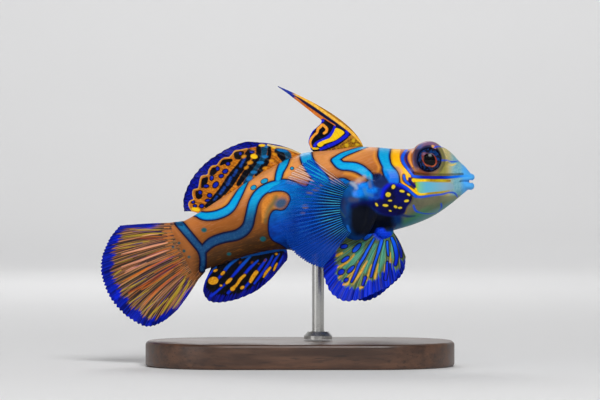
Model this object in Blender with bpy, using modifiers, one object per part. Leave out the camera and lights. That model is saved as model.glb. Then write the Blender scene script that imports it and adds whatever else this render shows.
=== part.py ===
"""Mandarinfish, a still life-size model on a display stand.

Metres, +Z up. The snout points along +X and the fish's right side faces -Y.
The origin is the middle of the stand's underside.
"""

import math

import bmesh
import bpy
from mathutils import Matrix, Vector

# Driving dimensions
MM = 0.001
TOTAL_LENGTH = 70 * MM
STAND_LENGTH = 56 * MM
STAND_WIDTH = 34 * MM
STAND_THICKNESS = 4.5 * MM
STAND_CORNER = 15 * MM
STAND_EDGE = 0.6 * MM
ROD_RADIUS = 1.1 * MM
COLLAR_RADIUS = 2.6 * MM
COLLAR_HEIGHT = 1.4 * MM
COLLAR_SHOULDER = 0.45
COLLAR_TOP = 0.72
ROD_PLACE = (318.0, 240.0)
TAIL_CLEARANCE = 2.4 * MM
GAP = 0.3 * MM
WELD = 0.01 * MM

# Side view: places are (right, down) in pixels of the fish's side view,
# where the fish is VIEW_LENGTH long from its lips to its tail margin.
VIEW_LENGTH = 384.7
PIXEL = TOTAL_LENGTH / VIEW_LENGTH
VIEW_MIDDLE = (300.0, 200.0)
LOWEST_TIP = 327.5
MIDDLE_HEIGHT = STAND_THICKNESS + TAIL_CLEARANCE + (LOWEST_TIP - VIEW_MIDDLE[1]) * PIXEL

# The tail swings gently away to the fish's left.
SWAY = 2.6 * MM
SWAY_FROM = 320.0
SWAY_SPAN = 220.0

# Body stations from lips to tail base: back (right, down), belly (right, down),
# half width in mm, and how high the widest level is, from the belly up.
STATIONS = (
    (471.0, 174.0, 467.5, 190.0, 1.8, 0.50),
    (465.5, 167.0, 460.5, 196.0, 2.7, 0.48),
    (458.5, 160.6, 451.0, 203.8, 3.6, 0.45),
    (452.0, 153.4, 440.0, 211.8, 4.5, 0.41),
    (443.0, 147.2, 428.0, 218.6, 5.2, 0.38),
    (428.0, 144.6, 413.0, 224.6, 5.8, 0.39),
    (411.0, 148.8, 400.0, 228.6, 6.4, 0.42),
    (395.0, 148.9, 387.0, 232.0, 6.8, 0.45),
    (377.0, 147.4, 373.0, 237.0, 6.9, 0.48),
    (355.0, 147.0, 356.0, 243.0, 6.8, 0.50),
    (330.0, 150.3, 336.0, 249.0, 6.6, 0.52),
    (304.0, 153.0, 315.0, 252.5, 6.1, 0.53),
    (282.0, 162.0, 298.0, 251.0, 5.4, 0.54),
    (260.0, 174.0, 281.0, 249.3, 4.6, 0.55),
    (240.0, 186.5, 262.0, 252.0, 3.9, 0.55),
    (220.0, 199.0, 243.0, 257.0, 3.2, 0.55),
    (202.0, 210.5, 223.0, 264.0, 2.6, 0.54),
    (187.0, 219.3, 207.0, 269.0, 2.1, 0.52),
    (179.0, 222.2, 201.0, 270.8, 1.7, 0.50),
)
FULLNESS = 0.9
AROUND = 28
STATION_STEP = 20.0 * PIXEL
LAST_STEP = 8.0 * PIXEL

# Where the body is parted, as station numbers
HEAD_ENDS = 8.3
TORSO_ENDS = 11.3
TRUNK_ENDS = 15.0
TAIL_ENDS = 18.0
HEAD_RINGS = 20
TORSO_RINGS = 8
TRUNK_RINGS = 8
TAIL_RINGS = 7
CLEAR_RINGS = 44
CLEAR_STARTS = -0.2

# Eyes and the skin that bulges round them
EYE_PLACE = (428.0, 160.0)
EYE_OUT = 3.8 * MM
EYE_RADIUS = 2.55 * MM
EYE_GAP = 0.15 * MM
ORBIT_PLACE = (428.0, 159.3)
ORBIT_OUT = 3.42 * MM
ORBIT_RADII = (3.12 * MM, 2.9 * MM, 3.28 * MM)
LID_OPENING = 2.24 * MM
LID_RADIUS = 2.5 * MM
LID_THICKNESS = 0.3 * MM
LID_STEPS = 22
LID_SIDES = 6

# Lips: corner, front and tube radius
UPPER_LIP = ((463.5, 178.4), (471.4, 177.3), 0.62 * MM)
LOWER_LIP = ((462.5, 184.9), (470.6, 186.0), 0.7 * MM)
LIP_CORNER_OUT = 1.8 * MM
LIP_CORNER_SHARE = 0.62
LIP_BLUNTNESS = 0.7
LIP_STEPS = 10
MOUTH_PLACE = (470.5, 181.4)
MOUTH_REACH = (7.8 * PIXEL, 3.2 * MM)
MOUTH_LINE = 0.28 * MM
NOSTRIL_PLACE = (448.0, 163.0)
NOSTRIL_RADIUS = 0.36 * MM
NOSTRIL_HOLE_RADIUS = 0.17 * MM
NOSTRIL_LEAN = (0.4, 0.75, 0.53)

# The crease under the eye, from the upper lip back to the cheek
CREASE = (
    (465.0, 175.6),
    (458.0, 175.2),
    (450.0, 174.9),
    (441.0, 174.9),
    (432.0, 175.0),
    (423.0, 175.0),
    (414.0, 174.0),
)
CREASE_RADIUS = 0.17 * MM
CREASE_END_SHARE = 0.3

# Gill opening: a low spout high behind the cheek
GILL_PLACE = (380.5, 179.5)
GILL_OUT = 5.4 * MM
GILL_RADII = (1.6 * MM, 1.5 * MM, 1.7 * MM)
GILL_HOLE_PLACE = (375.5, 176.0)
GILL_HOLE_OUT = 6.5 * MM
GILL_HOLE_RADIUS = 0.5 * MM

# Fleshy bases of the paired fins
PECTORAL_BASE = (353.0, 209.0)
PECTORAL_BASE_OUT = 6.7 * MM
PECTORAL_BASE_RADII = (15.0 * PIXEL, 2.0 * MM, 27.0 * PIXEL)
PELVIC_BASE = (384.0, 231.0)
PELVIC_BASE_OUT = 2.9 * MM
PELVIC_BASE_RADII = (1.7 * MM, 1.3 * MM, 1.5 * MM)

# Fins: each membrane is MEMBRANE thick and its rays stand RAY_RIDGE proud.
# Rays are RAY_HALF_WIDTH of their spacing wide on each side and sink towards the margin.
MEMBRANE = 0.5 * MM
RAY_RIDGE = 0.3 * MM
RAY_HALF_WIDTH = 0.34
RAY_SINKS = 0.8
SCALLOP = 0.02
ROOT_REACH = 0.3
RIPPLE_TURN = 2.6
FIRST_DORSAL_WAVE = 0.1 * MM
SECOND_DORSAL_ROOT = 0.3 * MM
SECOND_DORSAL_WAVE = 0.5 * MM
ANAL_ROOT = 0.3 * MM
ANAL_WAVE = 0.4 * MM
CAUDAL_ROOT = 2.2 * MM
CAUDAL_WAVE = 0.5 * MM
PAIRED_ROOT = 0.2 * MM

# Fin rays: root (right, down), bend (right, down), tip (right, down)
FIRST_DORSAL_RAYS = (
    (364.0, 148.6, 338.0, 118.0, 278.0, 87.0),
    (356.0, 149.6, 337.5, 124.5, 293.5, 95.5),
    (348.0, 150.2, 333.0, 127.5, 313.0, 113.5),
    (340.0, 151.2, 331.0, 131.0, 321.5, 121.5),
    (333.0, 152.2, 322.0, 140.5, 312.0, 132.0),
    (326.0, 153.0, 315.5, 147.0, 308.6, 141.5),
    (319.0, 154.6, 314.5, 152.2, 311.0, 149.0),
)
SECOND_DORSAL_RAYS = (
    (303.0, 154.6, 284.0, 146.6, 262.0, 143.0),
    (290.0, 160.0, 268.0, 149.0, 246.0, 141.8),
    (277.0, 167.0, 255.0, 154.5, 231.0, 146.6),
    (264.0, 174.2, 242.0, 162.0, 217.0, 154.3),
    (251.0, 182.0, 229.0, 170.5, 204.5, 163.5),
    (238.0, 190.0, 217.0, 180.0, 194.5, 174.5),
    (225.0, 198.2, 206.0, 190.5, 187.0, 187.0),
    (212.0, 206.4, 198.0, 201.5, 183.0, 200.0),
    (200.0, 214.0, 192.0, 211.5, 184.0, 211.5),
)
ANAL_RAYS = (
    (286.0, 247.0, 287.5, 254.0, 287.0, 260.0),
    (280.0, 248.2, 277.5, 264.0, 271.5, 278.0),
    (271.0, 249.0, 266.0, 270.0, 258.5, 289.5),
    (261.0, 250.8, 254.0, 275.0, 245.0, 296.5),
    (251.0, 253.6, 242.0, 278.0, 231.5, 301.0),
    (240.0, 256.8, 230.0, 280.0, 219.0, 302.8),
    (229.0, 261.0, 218.5, 281.5, 208.5, 301.0),
    (219.0, 264.5, 210.0, 279.0, 203.0, 291.5),
    (211.5, 267.0, 208.5, 273.5, 205.5, 280.0),
)
CAUDAL_RAYS = (
    (182.5, 222.8, 150.0, 223.6, 119.0, 225.8),
    (184.5, 228.5, 145.0, 231.5, 109.5, 237.5),
    (186.5, 233.5, 145.0, 240.5, 103.0, 250.5),
    (189.0, 238.5, 145.0, 249.5, 100.0, 264.0),
    (191.5, 244.0, 147.0, 258.5, 101.0, 278.5),
    (194.0, 249.5, 150.0, 268.0, 106.5, 293.0),
    (196.5, 255.0, 154.5, 277.5, 116.0, 307.5),
    (199.0, 260.0, 160.5, 286.5, 129.5, 319.5),
    (201.0, 264.5, 170.0, 291.5, 146.0, 327.0),
    (202.5, 267.5, 181.5, 292.0, 162.0, 322.5),
    (203.5, 270.0, 191.5, 290.0, 177.0, 310.0),
)
PELVIC_RAYS = (
    (375.0, 229.5, 353.0, 234.0, 334.5, 243.5),
    (376.5, 230.5, 350.0, 241.5, 326.0, 256.0),
    (378.0, 231.5, 349.0, 249.0, 323.0, 269.0),
    (379.5, 232.0, 350.5, 256.0, 325.5, 282.5),
    (381.0, 232.5, 354.0, 262.0, 332.0, 293.5),
    (382.5, 233.0, 359.0, 266.0, 342.5, 299.8),
    (384.0, 233.0, 364.5, 267.5, 354.5, 299.6),
    (385.5, 233.0, 370.5, 265.5, 366.0, 295.8),
    (387.0, 232.5, 377.5, 262.5, 377.5, 290.5),
    (388.5, 231.5, 384.5, 258.5, 387.0, 286.0),
    (390.0, 230.5, 391.0, 253.0, 394.5, 278.5),
    (391.5, 229.5, 397.0, 246.0, 399.5, 266.0),
)
PELVIC_OUT = (2.9 * MM, 4.6 * MM, 6.6 * MM)
PELVIC_FORWARD = math.radians(17)
PELVIC_FORESHORTEN = 0.92
PELVIC_OUT_LEFT = (2.9 * MM, 5.2 * MM, 8.4 * MM)
PELVIC_CUP = 0.6 * MM

# The pectoral fin's rays leave the rim of its fleshy base and fan backwards.
PECTORAL_RAYS = 15
PECTORAL_ROOT_ANGLES = (math.radians(14), math.radians(170))
PECTORAL_TIP_ANGLES = (math.radians(40), math.radians(152))
PECTORAL_REACH = (66.0, 10.0)
PECTORAL_ROOT_SHARE = 0.8
PECTORAL_OUT = (7.35 * MM, 8.7 * MM, 10.4 * MM)
PECTORAL_CUP = 1.0 * MM

COLOURS = {
    "skin_orange": ((0.78, 0.33, 0.08), 0.35, 0.0),
    "skin_blue": ((0.02, 0.24, 0.65), 0.35, 0.0),
    "fin_blue": ((0.01, 0.05, 0.55), 0.4, 0.0),
    "fin_amber": ((0.75, 0.38, 0.12), 0.4, 0.0),
    "eye_dark": ((0.02, 0.03, 0.10), 0.1, 0.0),
    "stand_wood": ((0.10, 0.07, 0.05), 0.45, 0.0),
    "stand_metal": ((0.72, 0.72, 0.70), 0.3, 1.0),
}


def clear_scene():
    for obj in list(bpy.data.objects):
        bpy.data.objects.remove(obj)


def collection(name, hidden=False):
    made = bpy.data.collections.new(name)
    bpy.context.scene.collection.children.link(made)
    made.hide_render = hidden
    return made


def material(name):
    if name in bpy.data.materials:
        return bpy.data.materials[name]
    colour, roughness, metallic = COLOURS[name]
    made = bpy.data.materials.new(name)
    made.use_nodes = True
    shader = made.node_tree.nodes["Principled BSDF"]
    shader.inputs["Base Color"].default_value = (*colour, 1.0)
    shader.inputs["Roughness"].default_value = roughness
    shader.inputs["Metallic"].default_value = metallic
    return made


def side(place, out=0.0):
    """The point of the model at a place of the side view, out towards -Y (the right side)."""
    right, down = place
    x = (right - VIEW_MIDDLE[0]) * PIXEL
    return Vector((x, -out, MIDDLE_HEIGHT + (VIEW_MIDDLE[1] - down) * PIXEL))


def swayed(point):
    """The point moved sideways with the tail's swing."""
    right = point.x / PIXEL + VIEW_MIDDLE[0]
    share = max(0.0, (SWAY_FROM - right) / SWAY_SPAN)
    return Vector((point.x, point.y + SWAY * share * share, point.z))


def along(rows, t):
    """The row at t, a smooth blend of the hand-placed rows through every one of them."""
    last = len(rows) - 1
    i = max(0, min(int(t), last - 1))
    f = t - i
    near = [rows[max(0, min(last, i + k))] for k in (-1, 0, 1, 2)]
    return [
        0.5 * (2 * b + (c - a) * f + (2 * a - 5 * b + 4 * c - d) * f**2 + (3 * b - a - 3 * c + d) * f**3)
        for a, b, c, d in zip(*near)
    ]


def rounded(value):
    """Sine or cosine made a little squarer, so that a section is fuller than an ellipse."""
    return math.copysign(abs(value) ** FULLNESS, value)


def section(t, angle, grow=0.0):
    """The point of the body's surface at station t, turned by angle from the back."""
    back_u, back_v, belly_u, belly_v, half_width, widest = along(STATIONS, t)
    back, belly = side((back_u, back_v)), side((belly_u, belly_v))
    up = (back - belly).normalized()
    height = (back - belly).length
    share = 1 - widest if math.cos(angle) > 0 else widest
    rise = height * share + grow
    width = half_width * MM + grow
    middle = belly + up * height * widest
    return middle + up * rise * rounded(math.cos(angle)) + Vector((0, width * rounded(math.sin(angle)), 0))


def surface(place, hand):
    """The point of the bare body's skin seen at a place of the side view."""
    goal = side(place)

    def miss(pair):
        found = section(*pair)
        return (found.x - goal.x) ** 2 + (found.z - goal.z) ** 2

    turns = 18
    starts = [(i / 2, math.pi * k / turns) for i in range(2 * len(STATIONS) - 1) for k in range(1, turns)]
    best = min(starts, key=miss)
    move = (0.25, math.pi / turns / 2)
    for _ in range(8):
        near = [(best[0] + i * move[0], best[1] + k * move[1]) for i in (-1, 0, 1) for k in (-1, 0, 1)]
        best = min(near, key=miss)
        move = (move[0] / 2, move[1] / 2)
    found = section(*best)
    return swayed(Vector((found.x, -hand * abs(found.y), found.z)))


def mesh_object(name, bm, colour, home):
    mesh = bpy.data.meshes.new(name)
    bm.to_mesh(mesh)
    bm.free()
    mesh.materials.append(material(colour))
    obj = bpy.data.objects.new(name, mesh)
    home.objects.link(obj)
    return obj


def body_length(name, start, end, rings, colour, home, grow=0.0):
    """One length of the body, lofted through its sections and closed flat at both ends."""
    bm = bmesh.new()
    loops = []
    for i in range(rings + 1):
        t = start + (end - start) * i / rings
        points = [section(t, math.tau * k / AROUND, grow) for k in range(AROUND)]
        loops.append([bm.verts.new(swayed(p)) for p in points])
    for near, far in zip(loops, loops[1:]):
        for k in range(AROUND):
            n = (k + 1) % AROUND
            bm.faces.new((near[k], far[k], far[n], near[n]))
    bm.faces.new(loops[0])
    bm.faces.new(loops[-1][::-1])
    bmesh.ops.triangulate(bm, faces=bm.faces[:])
    bmesh.ops.recalc_face_normals(bm, faces=bm.faces[:])
    return mesh_object(name, bm, colour, home)


def ball(name, centre, radii, home, colour, grow=0.0, segments=18, rings=12):
    """A ball stretched to three radii, its poles facing sideways."""
    bm = bmesh.new()
    bmesh.ops.create_uvsphere(bm, u_segments=segments, v_segments=rings, radius=1.0)
    turn = Matrix.Rotation(math.radians(90), 4, "X")
    scale = Matrix.Diagonal((radii[0] + grow, radii[1] + grow, radii[2] + grow, 1.0))
    bmesh.ops.transform(bm, matrix=Matrix.Translation(swayed(centre)) @ scale @ turn, verts=bm.verts[:])
    return mesh_object(name, bm, colour, home)


def tube(name, points, radii, colour, home, sides=2):
    """A round tube through the points, made a mesh with welded caps."""
    curve = bpy.data.curves.new(name, "CURVE")
    curve.dimensions = "3D"
    curve.bevel_depth = 1.0
    curve.bevel_resolution = sides
    curve.use_fill_caps = True
    spline = curve.splines.new("POLY")
    spline.points.add(len(points) - 1)
    for target, point, radius in zip(spline.points, points, radii):
        target.co = (*point, 1.0)
        target.radius = radius
    rough = bpy.data.objects.new(name + "_line", curve)
    home.objects.link(rough)
    graph = bpy.context.evaluated_depsgraph_get()
    mesh = bpy.data.meshes.new_from_object(rough.evaluated_get(graph))
    bpy.data.objects.remove(rough)
    bm = bmesh.new()
    bm.from_mesh(mesh)
    bpy.data.meshes.remove(mesh)
    bmesh.ops.remove_doubles(bm, verts=bm.verts[:], dist=WELD / 10)
    bmesh.ops.recalc_face_normals(bm, faces=bm.faces[:])
    return mesh_object(name, bm, colour, home)


def keep_largest(obj):
    """Drops every closed surface of the mesh but the one with the most faces."""
    bm = bmesh.new()
    bm.from_mesh(obj.data)
    left, groups = set(bm.faces), []
    while left:
        group, edge = set(), [left.pop()]
        while edge:
            face = edge.pop()
            group.add(face)
            near = {f for e in face.edges for f in e.link_faces} & left
            left -= near
            edge.extend(near)
        groups.append(group)
    groups.sort(key=len)
    for group in groups[:-1]:
        bmesh.ops.delete(bm, geom=list(group), context="FACES")
    bm.to_mesh(obj.data)
    bm.free()


def combine(obj, home, operation):
    """Joins the collection's closed meshes to obj, or cuts them from it, in one Boolean that is applied."""
    change = obj.modifiers.new(operation.lower(), "BOOLEAN")
    change.operation = operation
    change.operand_type = "COLLECTION"
    change.collection = home
    change.solver = "EXACT"
    bpy.context.view_layer.update()
    graph = bpy.context.evaluated_depsgraph_get()
    mesh = bpy.data.meshes.new_from_object(obj.evaluated_get(graph))
    obj.modifiers.clear()
    obj.data = mesh
    keep_largest(obj)


def empty_out(home):
    for obj in list(home.objects):
        bpy.data.objects.remove(obj)
    bpy.data.collections.remove(home)


def lip(name, corner, front, radius, home):
    """A lip: a tube from one corner of the mouth round its front to the other."""
    points, radii = [], []
    for i in range(LIP_STEPS + 1):
        angle = math.pi * (i / LIP_STEPS - 0.5)
        share = max(0.0, round(math.cos(angle), 9)) ** LIP_BLUNTNESS
        right = corner[0] + (front[0] - corner[0]) * share
        down = corner[1] + (front[1] - corner[1]) * share
        points.append(side((right, down), LIP_CORNER_OUT * math.sin(angle)))
        radii.append(radius * (LIP_CORNER_SHARE + (1 - LIP_CORNER_SHARE) * share))
    return tube(name, points, radii, "skin_blue", home)


def mouth_line(home):
    """The thin flat slot that parts the lips back to the corners of the mouth."""
    bm = bmesh.new()
    bmesh.ops.create_cone(bm, cap_ends=True, segments=28, radius1=1.0, radius2=1.0, depth=MOUTH_LINE)
    stretch = Matrix.Diagonal((*MOUTH_REACH, 1.0, 1.0))
    bmesh.ops.transform(bm, matrix=Matrix.Translation(side(MOUTH_PLACE)) @ stretch, verts=bm.verts[:])
    return mesh_object("mouth_slot", bm, "eye_dark", home)


def lid(name, centre, hand, home):
    """The raised rim of skin round an eye."""
    bm = bmesh.new()
    loops = []
    for i in range(LID_STEPS):
        turn = math.tau * i / LID_STEPS
        ring = []
        for k in range(LID_SIDES):
            roll = math.tau * k / LID_SIDES
            reach = LID_RADIUS + LID_THICKNESS * math.cos(roll)
            out = LID_THICKNESS * math.sin(roll)
            offset = Vector((reach * math.cos(turn), hand * out, reach * math.sin(turn)))
            ring.append(bm.verts.new(centre + offset))
        loops.append(ring)
    for i in range(LID_STEPS):
        near, far = loops[i], loops[(i + 1) % LID_STEPS]
        for k in range(LID_SIDES):
            n = (k + 1) % LID_SIDES
            bm.faces.new((near[k], near[n], far[n], far[k]))
    bmesh.ops.recalc_face_normals(bm, faces=bm.faces[:])
    return mesh_object(name, bm, "skin_orange", home)


def opening(name, centre, hand, home):
    """The round opening between the lids, from the eye's middle outwards."""
    bm = bmesh.new()
    reach = 2 * EYE_RADIUS
    wide = LID_OPENING
    bmesh.ops.create_cone(bm, cap_ends=True, segments=24, radius1=wide, radius2=wide, depth=reach)
    turn = Matrix.Rotation(math.radians(90), 4, "X")
    move = Matrix.Translation(centre + Vector((0, -hand * reach / 2, 0)))
    bmesh.ops.transform(bm, matrix=move @ turn, verts=bm.verts[:])
    return mesh_object(name, bm, "eye_dark", home)


def head(model, clear):
    """The head, with orbits, lids, lips, nostrils, gill spouts and the pelvic fins' bases."""
    obj = body_length("head", 0.0, HEAD_ENDS, HEAD_RINGS, "skin_blue", model)
    joined = collection("head_pieces")
    taken = collection("head_cuts", hidden=True)
    lip("lip_upper", *UPPER_LIP, joined)
    lip("lip_lower", *LOWER_LIP, joined)
    mouth_line(taken)
    for hand, word in ((1, "right"), (-1, "left")):
        ball("orbit_" + word, side(ORBIT_PLACE, hand * ORBIT_OUT), ORBIT_RADII, joined, "skin_orange")
        eye = side(EYE_PLACE, hand * EYE_OUT)
        depth = math.sqrt(EYE_RADIUS**2 - LID_OPENING**2)
        lid("lid_" + word, eye + Vector((0, -hand * depth, 0)), hand, joined)
        ball("socket_" + word, eye, (EYE_RADIUS,) * 3, taken, "eye_dark", EYE_GAP)
        opening("opening_" + word, eye, hand, taken)
        ball("gill_" + word, side(GILL_PLACE, hand * GILL_OUT), GILL_RADII, joined, "skin_blue", 0.0, 14, 8)
        pore = side(GILL_HOLE_PLACE, hand * GILL_HOLE_OUT)
        ball("gill_hole_" + word, pore, (GILL_HOLE_RADIUS,) * 3, taken, "eye_dark", 0.0, 8, 6)
        crease = [surface(place, hand) for place in CREASE]
        taper = [CREASE_RADIUS] * len(crease)
        taper[0] = taper[-1] = CREASE_RADIUS * CREASE_END_SHARE
        tube("crease_" + word, crease, taper, "eye_dark", taken, 1)
        root = side(PELVIC_BASE, hand * PELVIC_BASE_OUT)
        ball("pelvic_base_" + word, root, PELVIC_BASE_RADII, joined, "skin_blue", 0.0, 14, 10)
        root = surface(NOSTRIL_PLACE, hand)
        ahead, outward, upward = NOSTRIL_LEAN
        lean = Vector((ahead, -hand * outward, upward)) * NOSTRIL_RADIUS
        ball("nostril_" + word, root, (NOSTRIL_RADIUS,) * 3, joined, "skin_blue", 0.0, 10, 8)
        ball("nostril_hole_" + word, root + lean, (NOSTRIL_HOLE_RADIUS,) * 3, taken, "eye_dark", 0.0, 8, 6)
    combine(obj, joined, "UNION")
    combine(obj, taken, "DIFFERENCE")
    empty_out(joined)
    empty_out(taken)
    for hand, word in ((1, "right"), (-1, "left")):
        eye = side(EYE_PLACE, hand * EYE_OUT)
        ball("eye_" + word, eye, (EYE_RADIUS,) * 3, model, "eye_dark", 0.0, 20, 12)
        root = side(PELVIC_BASE, hand * PELVIC_BASE_OUT)
        ball("clear_pelvic_" + word, root, PELVIC_BASE_RADII, clear, "skin_blue", GAP, 14, 10)


def trunk(model, clear):
    """The rest of the body in three lengths, and the pectoral fins' bases on the first."""
    gap = GAP / STATION_STEP
    torso = body_length("torso", HEAD_ENDS + gap, TORSO_ENDS, TORSO_RINGS, "skin_blue", model)
    body_length("trunk_rear", TORSO_ENDS + gap, TRUNK_ENDS, TRUNK_RINGS, "skin_orange", model)
    body_length("tail_stalk", TRUNK_ENDS + gap, TAIL_ENDS, TAIL_RINGS, "skin_orange", model)
    joined = collection("torso_pieces")
    for hand, word in ((1, "right"), (-1, "left")):
        centre = side(PECTORAL_BASE, hand * PECTORAL_BASE_OUT)
        ball("pectoral_base_" + word, centre, PECTORAL_BASE_RADII, joined, "skin_blue", 0.0, 20, 12)
        ball("clear_pectoral_" + word, centre, PECTORAL_BASE_RADII, clear, "skin_blue", GAP, 20, 12)
    combine(torso, joined, "UNION")
    empty_out(joined)
    end = TAIL_ENDS + GAP / LAST_STEP
    body_length("clear_body", CLEAR_STARTS, end, CLEAR_RINGS, "skin_blue", clear, GAP)


def ray_point(rows, s, r):
    """The place on a fin at ray number s, a share r of the way from root to tip."""
    row = along(rows, s)
    root, bend, tip = Vector(row[0:2]), Vector(row[2:4]), Vector(row[4:6])
    hold = 2 * bend - 0.5 * (root + tip)
    return root * (1 - r) ** 2 + hold * 2 * r * (1 - r) + tip * r**2


def ridge(s):
    """1 on a ray, falling to 0 on the membrane between two rays."""
    away = abs(s - round(s))
    return max(0.0, 1 - away / RAY_HALF_WIDTH)


def fin(name, rows, outs, colour, home, steps, lengths, root=0.0, wave=0.0, scallop=SCALLOP, turn=None):
    """A fin: one membrane with its rays raised on both faces, thick at the root.

    outs gives how far the fin stands out sideways, as a function of ray number and share.
    """
    last = len(rows) - 1
    columns = last * steps
    bm = bmesh.new()
    bmesh.ops.create_grid(bm, x_segments=columns, y_segments=lengths, size=1.0)
    weights = {}
    most = MEMBRANE + RAY_RIDGE + root
    for vert in bm.verts:
        column = round((vert.co.x + 1) / 2 * columns)
        r = (vert.co.y + 1) / 2
        whole, part = divmod(column, steps)
        s = whole + (0, RAY_HALF_WIDTH, 1 - RAY_HALF_WIDTH)[part] if steps == 3 else column / steps
        s = min(s, last)
        reach = r * (1 - scallop * (1 - ridge(s)))
        place = ray_point(rows, s, reach)
        if turn:
            place = turn(place)
        ripple = wave * r * r * math.sin(RIPPLE_TURN * s)
        vert.co = swayed(side(place, outs(s, r) + ripple))
        thick = MEMBRANE + RAY_RIDGE * ridge(s) * (1 - RAY_SINKS * r)
        thick += root * max(0.0, 1 - r / ROOT_REACH) ** 2
        weights[vert.index] = thick / most
    bmesh.ops.triangulate(bm, faces=bm.faces[:])
    obj = mesh_object(name, bm, colour, home)
    group = obj.vertex_groups.new(name="thickness")
    for index, weight in weights.items():
        group.add([index], weight, "REPLACE")
    shell = obj.modifiers.new("thickness", "SOLIDIFY")
    shell.thickness = most
    shell.offset = 0.0
    shell.vertex_group = group.name
    shell.thickness_vertex_group = 0.0
    return obj


def median(s, r):
    return 0.0


def median_fins(model):
    first = (0.0, FIRST_DORSAL_WAVE, 0.0)
    second = (SECOND_DORSAL_ROOT, SECOND_DORSAL_WAVE)
    return (
        fin("fin_dorsal_first", FIRST_DORSAL_RAYS, median, "fin_amber", model, 3, 9, *first),
        fin("fin_dorsal_second", SECOND_DORSAL_RAYS, median, "fin_amber", model, 3, 7, *second),
        fin("fin_anal", ANAL_RAYS, median, "fin_blue", model, 3, 6, ANAL_ROOT, ANAL_WAVE),
        fin("fin_caudal", CAUDAL_RAYS, median, "fin_amber", model, 3, 8, CAUDAL_ROOT, CAUDAL_WAVE),
    )


def pectoral_rays():
    """Rays from the rim of the fleshy base to the fin's margin, top to bottom."""
    rows = []
    for i in range(PECTORAL_RAYS):
        share = i / (PECTORAL_RAYS - 1)
        at_root = PECTORAL_ROOT_ANGLES[0] + (PECTORAL_ROOT_ANGLES[1] - PECTORAL_ROOT_ANGLES[0]) * share
        at_tip = PECTORAL_TIP_ANGLES[0] + (PECTORAL_TIP_ANGLES[1] - PECTORAL_TIP_ANGLES[0]) * share
        reach = PECTORAL_REACH[0] + PECTORAL_REACH[1] * math.sin(math.pi * share)
        rim = (PECTORAL_BASE_RADII[0] / PIXEL, PECTORAL_BASE_RADII[2] / PIXEL)
        root = (
            PECTORAL_BASE[0] - rim[0] * PECTORAL_ROOT_SHARE * math.sin(at_root),
            PECTORAL_BASE[1] - rim[1] * PECTORAL_ROOT_SHARE * math.cos(at_root),
        )
        tip = (PECTORAL_BASE[0] - reach * math.sin(at_tip), PECTORAL_BASE[1] - reach * math.cos(at_tip))
        bend = ((root[0] + tip[0]) / 2, (root[1] + tip[1]) / 2)
        rows.append((*root, *bend, *tip))
    return rows


def spread(outs, hand, cup, last):
    """How far a paired fin stands out: from root to tip through the middle, and cupped across its rays."""

    def out(s, r):
        root, middle, tip = outs
        hold = 2 * middle - 0.5 * (root + tip)
        reach = root * (1 - r) ** 2 + hold * 2 * r * (1 - r) + tip * r * r
        return hand * (reach + cup * r * math.sin(math.pi * s / last))

    return out


def forward(place):
    """The left pelvic fin is held further forward and spread wider than the right one."""
    offset = (Vector(place) - Vector(PELVIC_BASE)) * PELVIC_FORESHORTEN
    return Vector(PELVIC_BASE) + Matrix.Rotation(-PELVIC_FORWARD, 2) @ offset


def paired_fins(model):
    made = []
    rays = pectoral_rays()
    for hand, word in ((1, "right"), (-1, "left")):
        out = spread(PECTORAL_OUT, hand, PECTORAL_CUP, PECTORAL_RAYS - 1)
        made.append(fin("fin_pectoral_" + word, rays, out, "fin_blue", model, 2, 6, PAIRED_ROOT))
        reach = PELVIC_OUT if hand > 0 else PELVIC_OUT_LEFT
        out = spread(reach, hand, PELVIC_CUP, len(PELVIC_RAYS) - 1)
        turn = forward if hand < 0 else None
        name = "fin_pelvic_" + word
        made.append(fin(name, PELVIC_RAYS, out, "fin_blue", model, 2, 7, PAIRED_ROOT, turn=turn))
    return made


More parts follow.
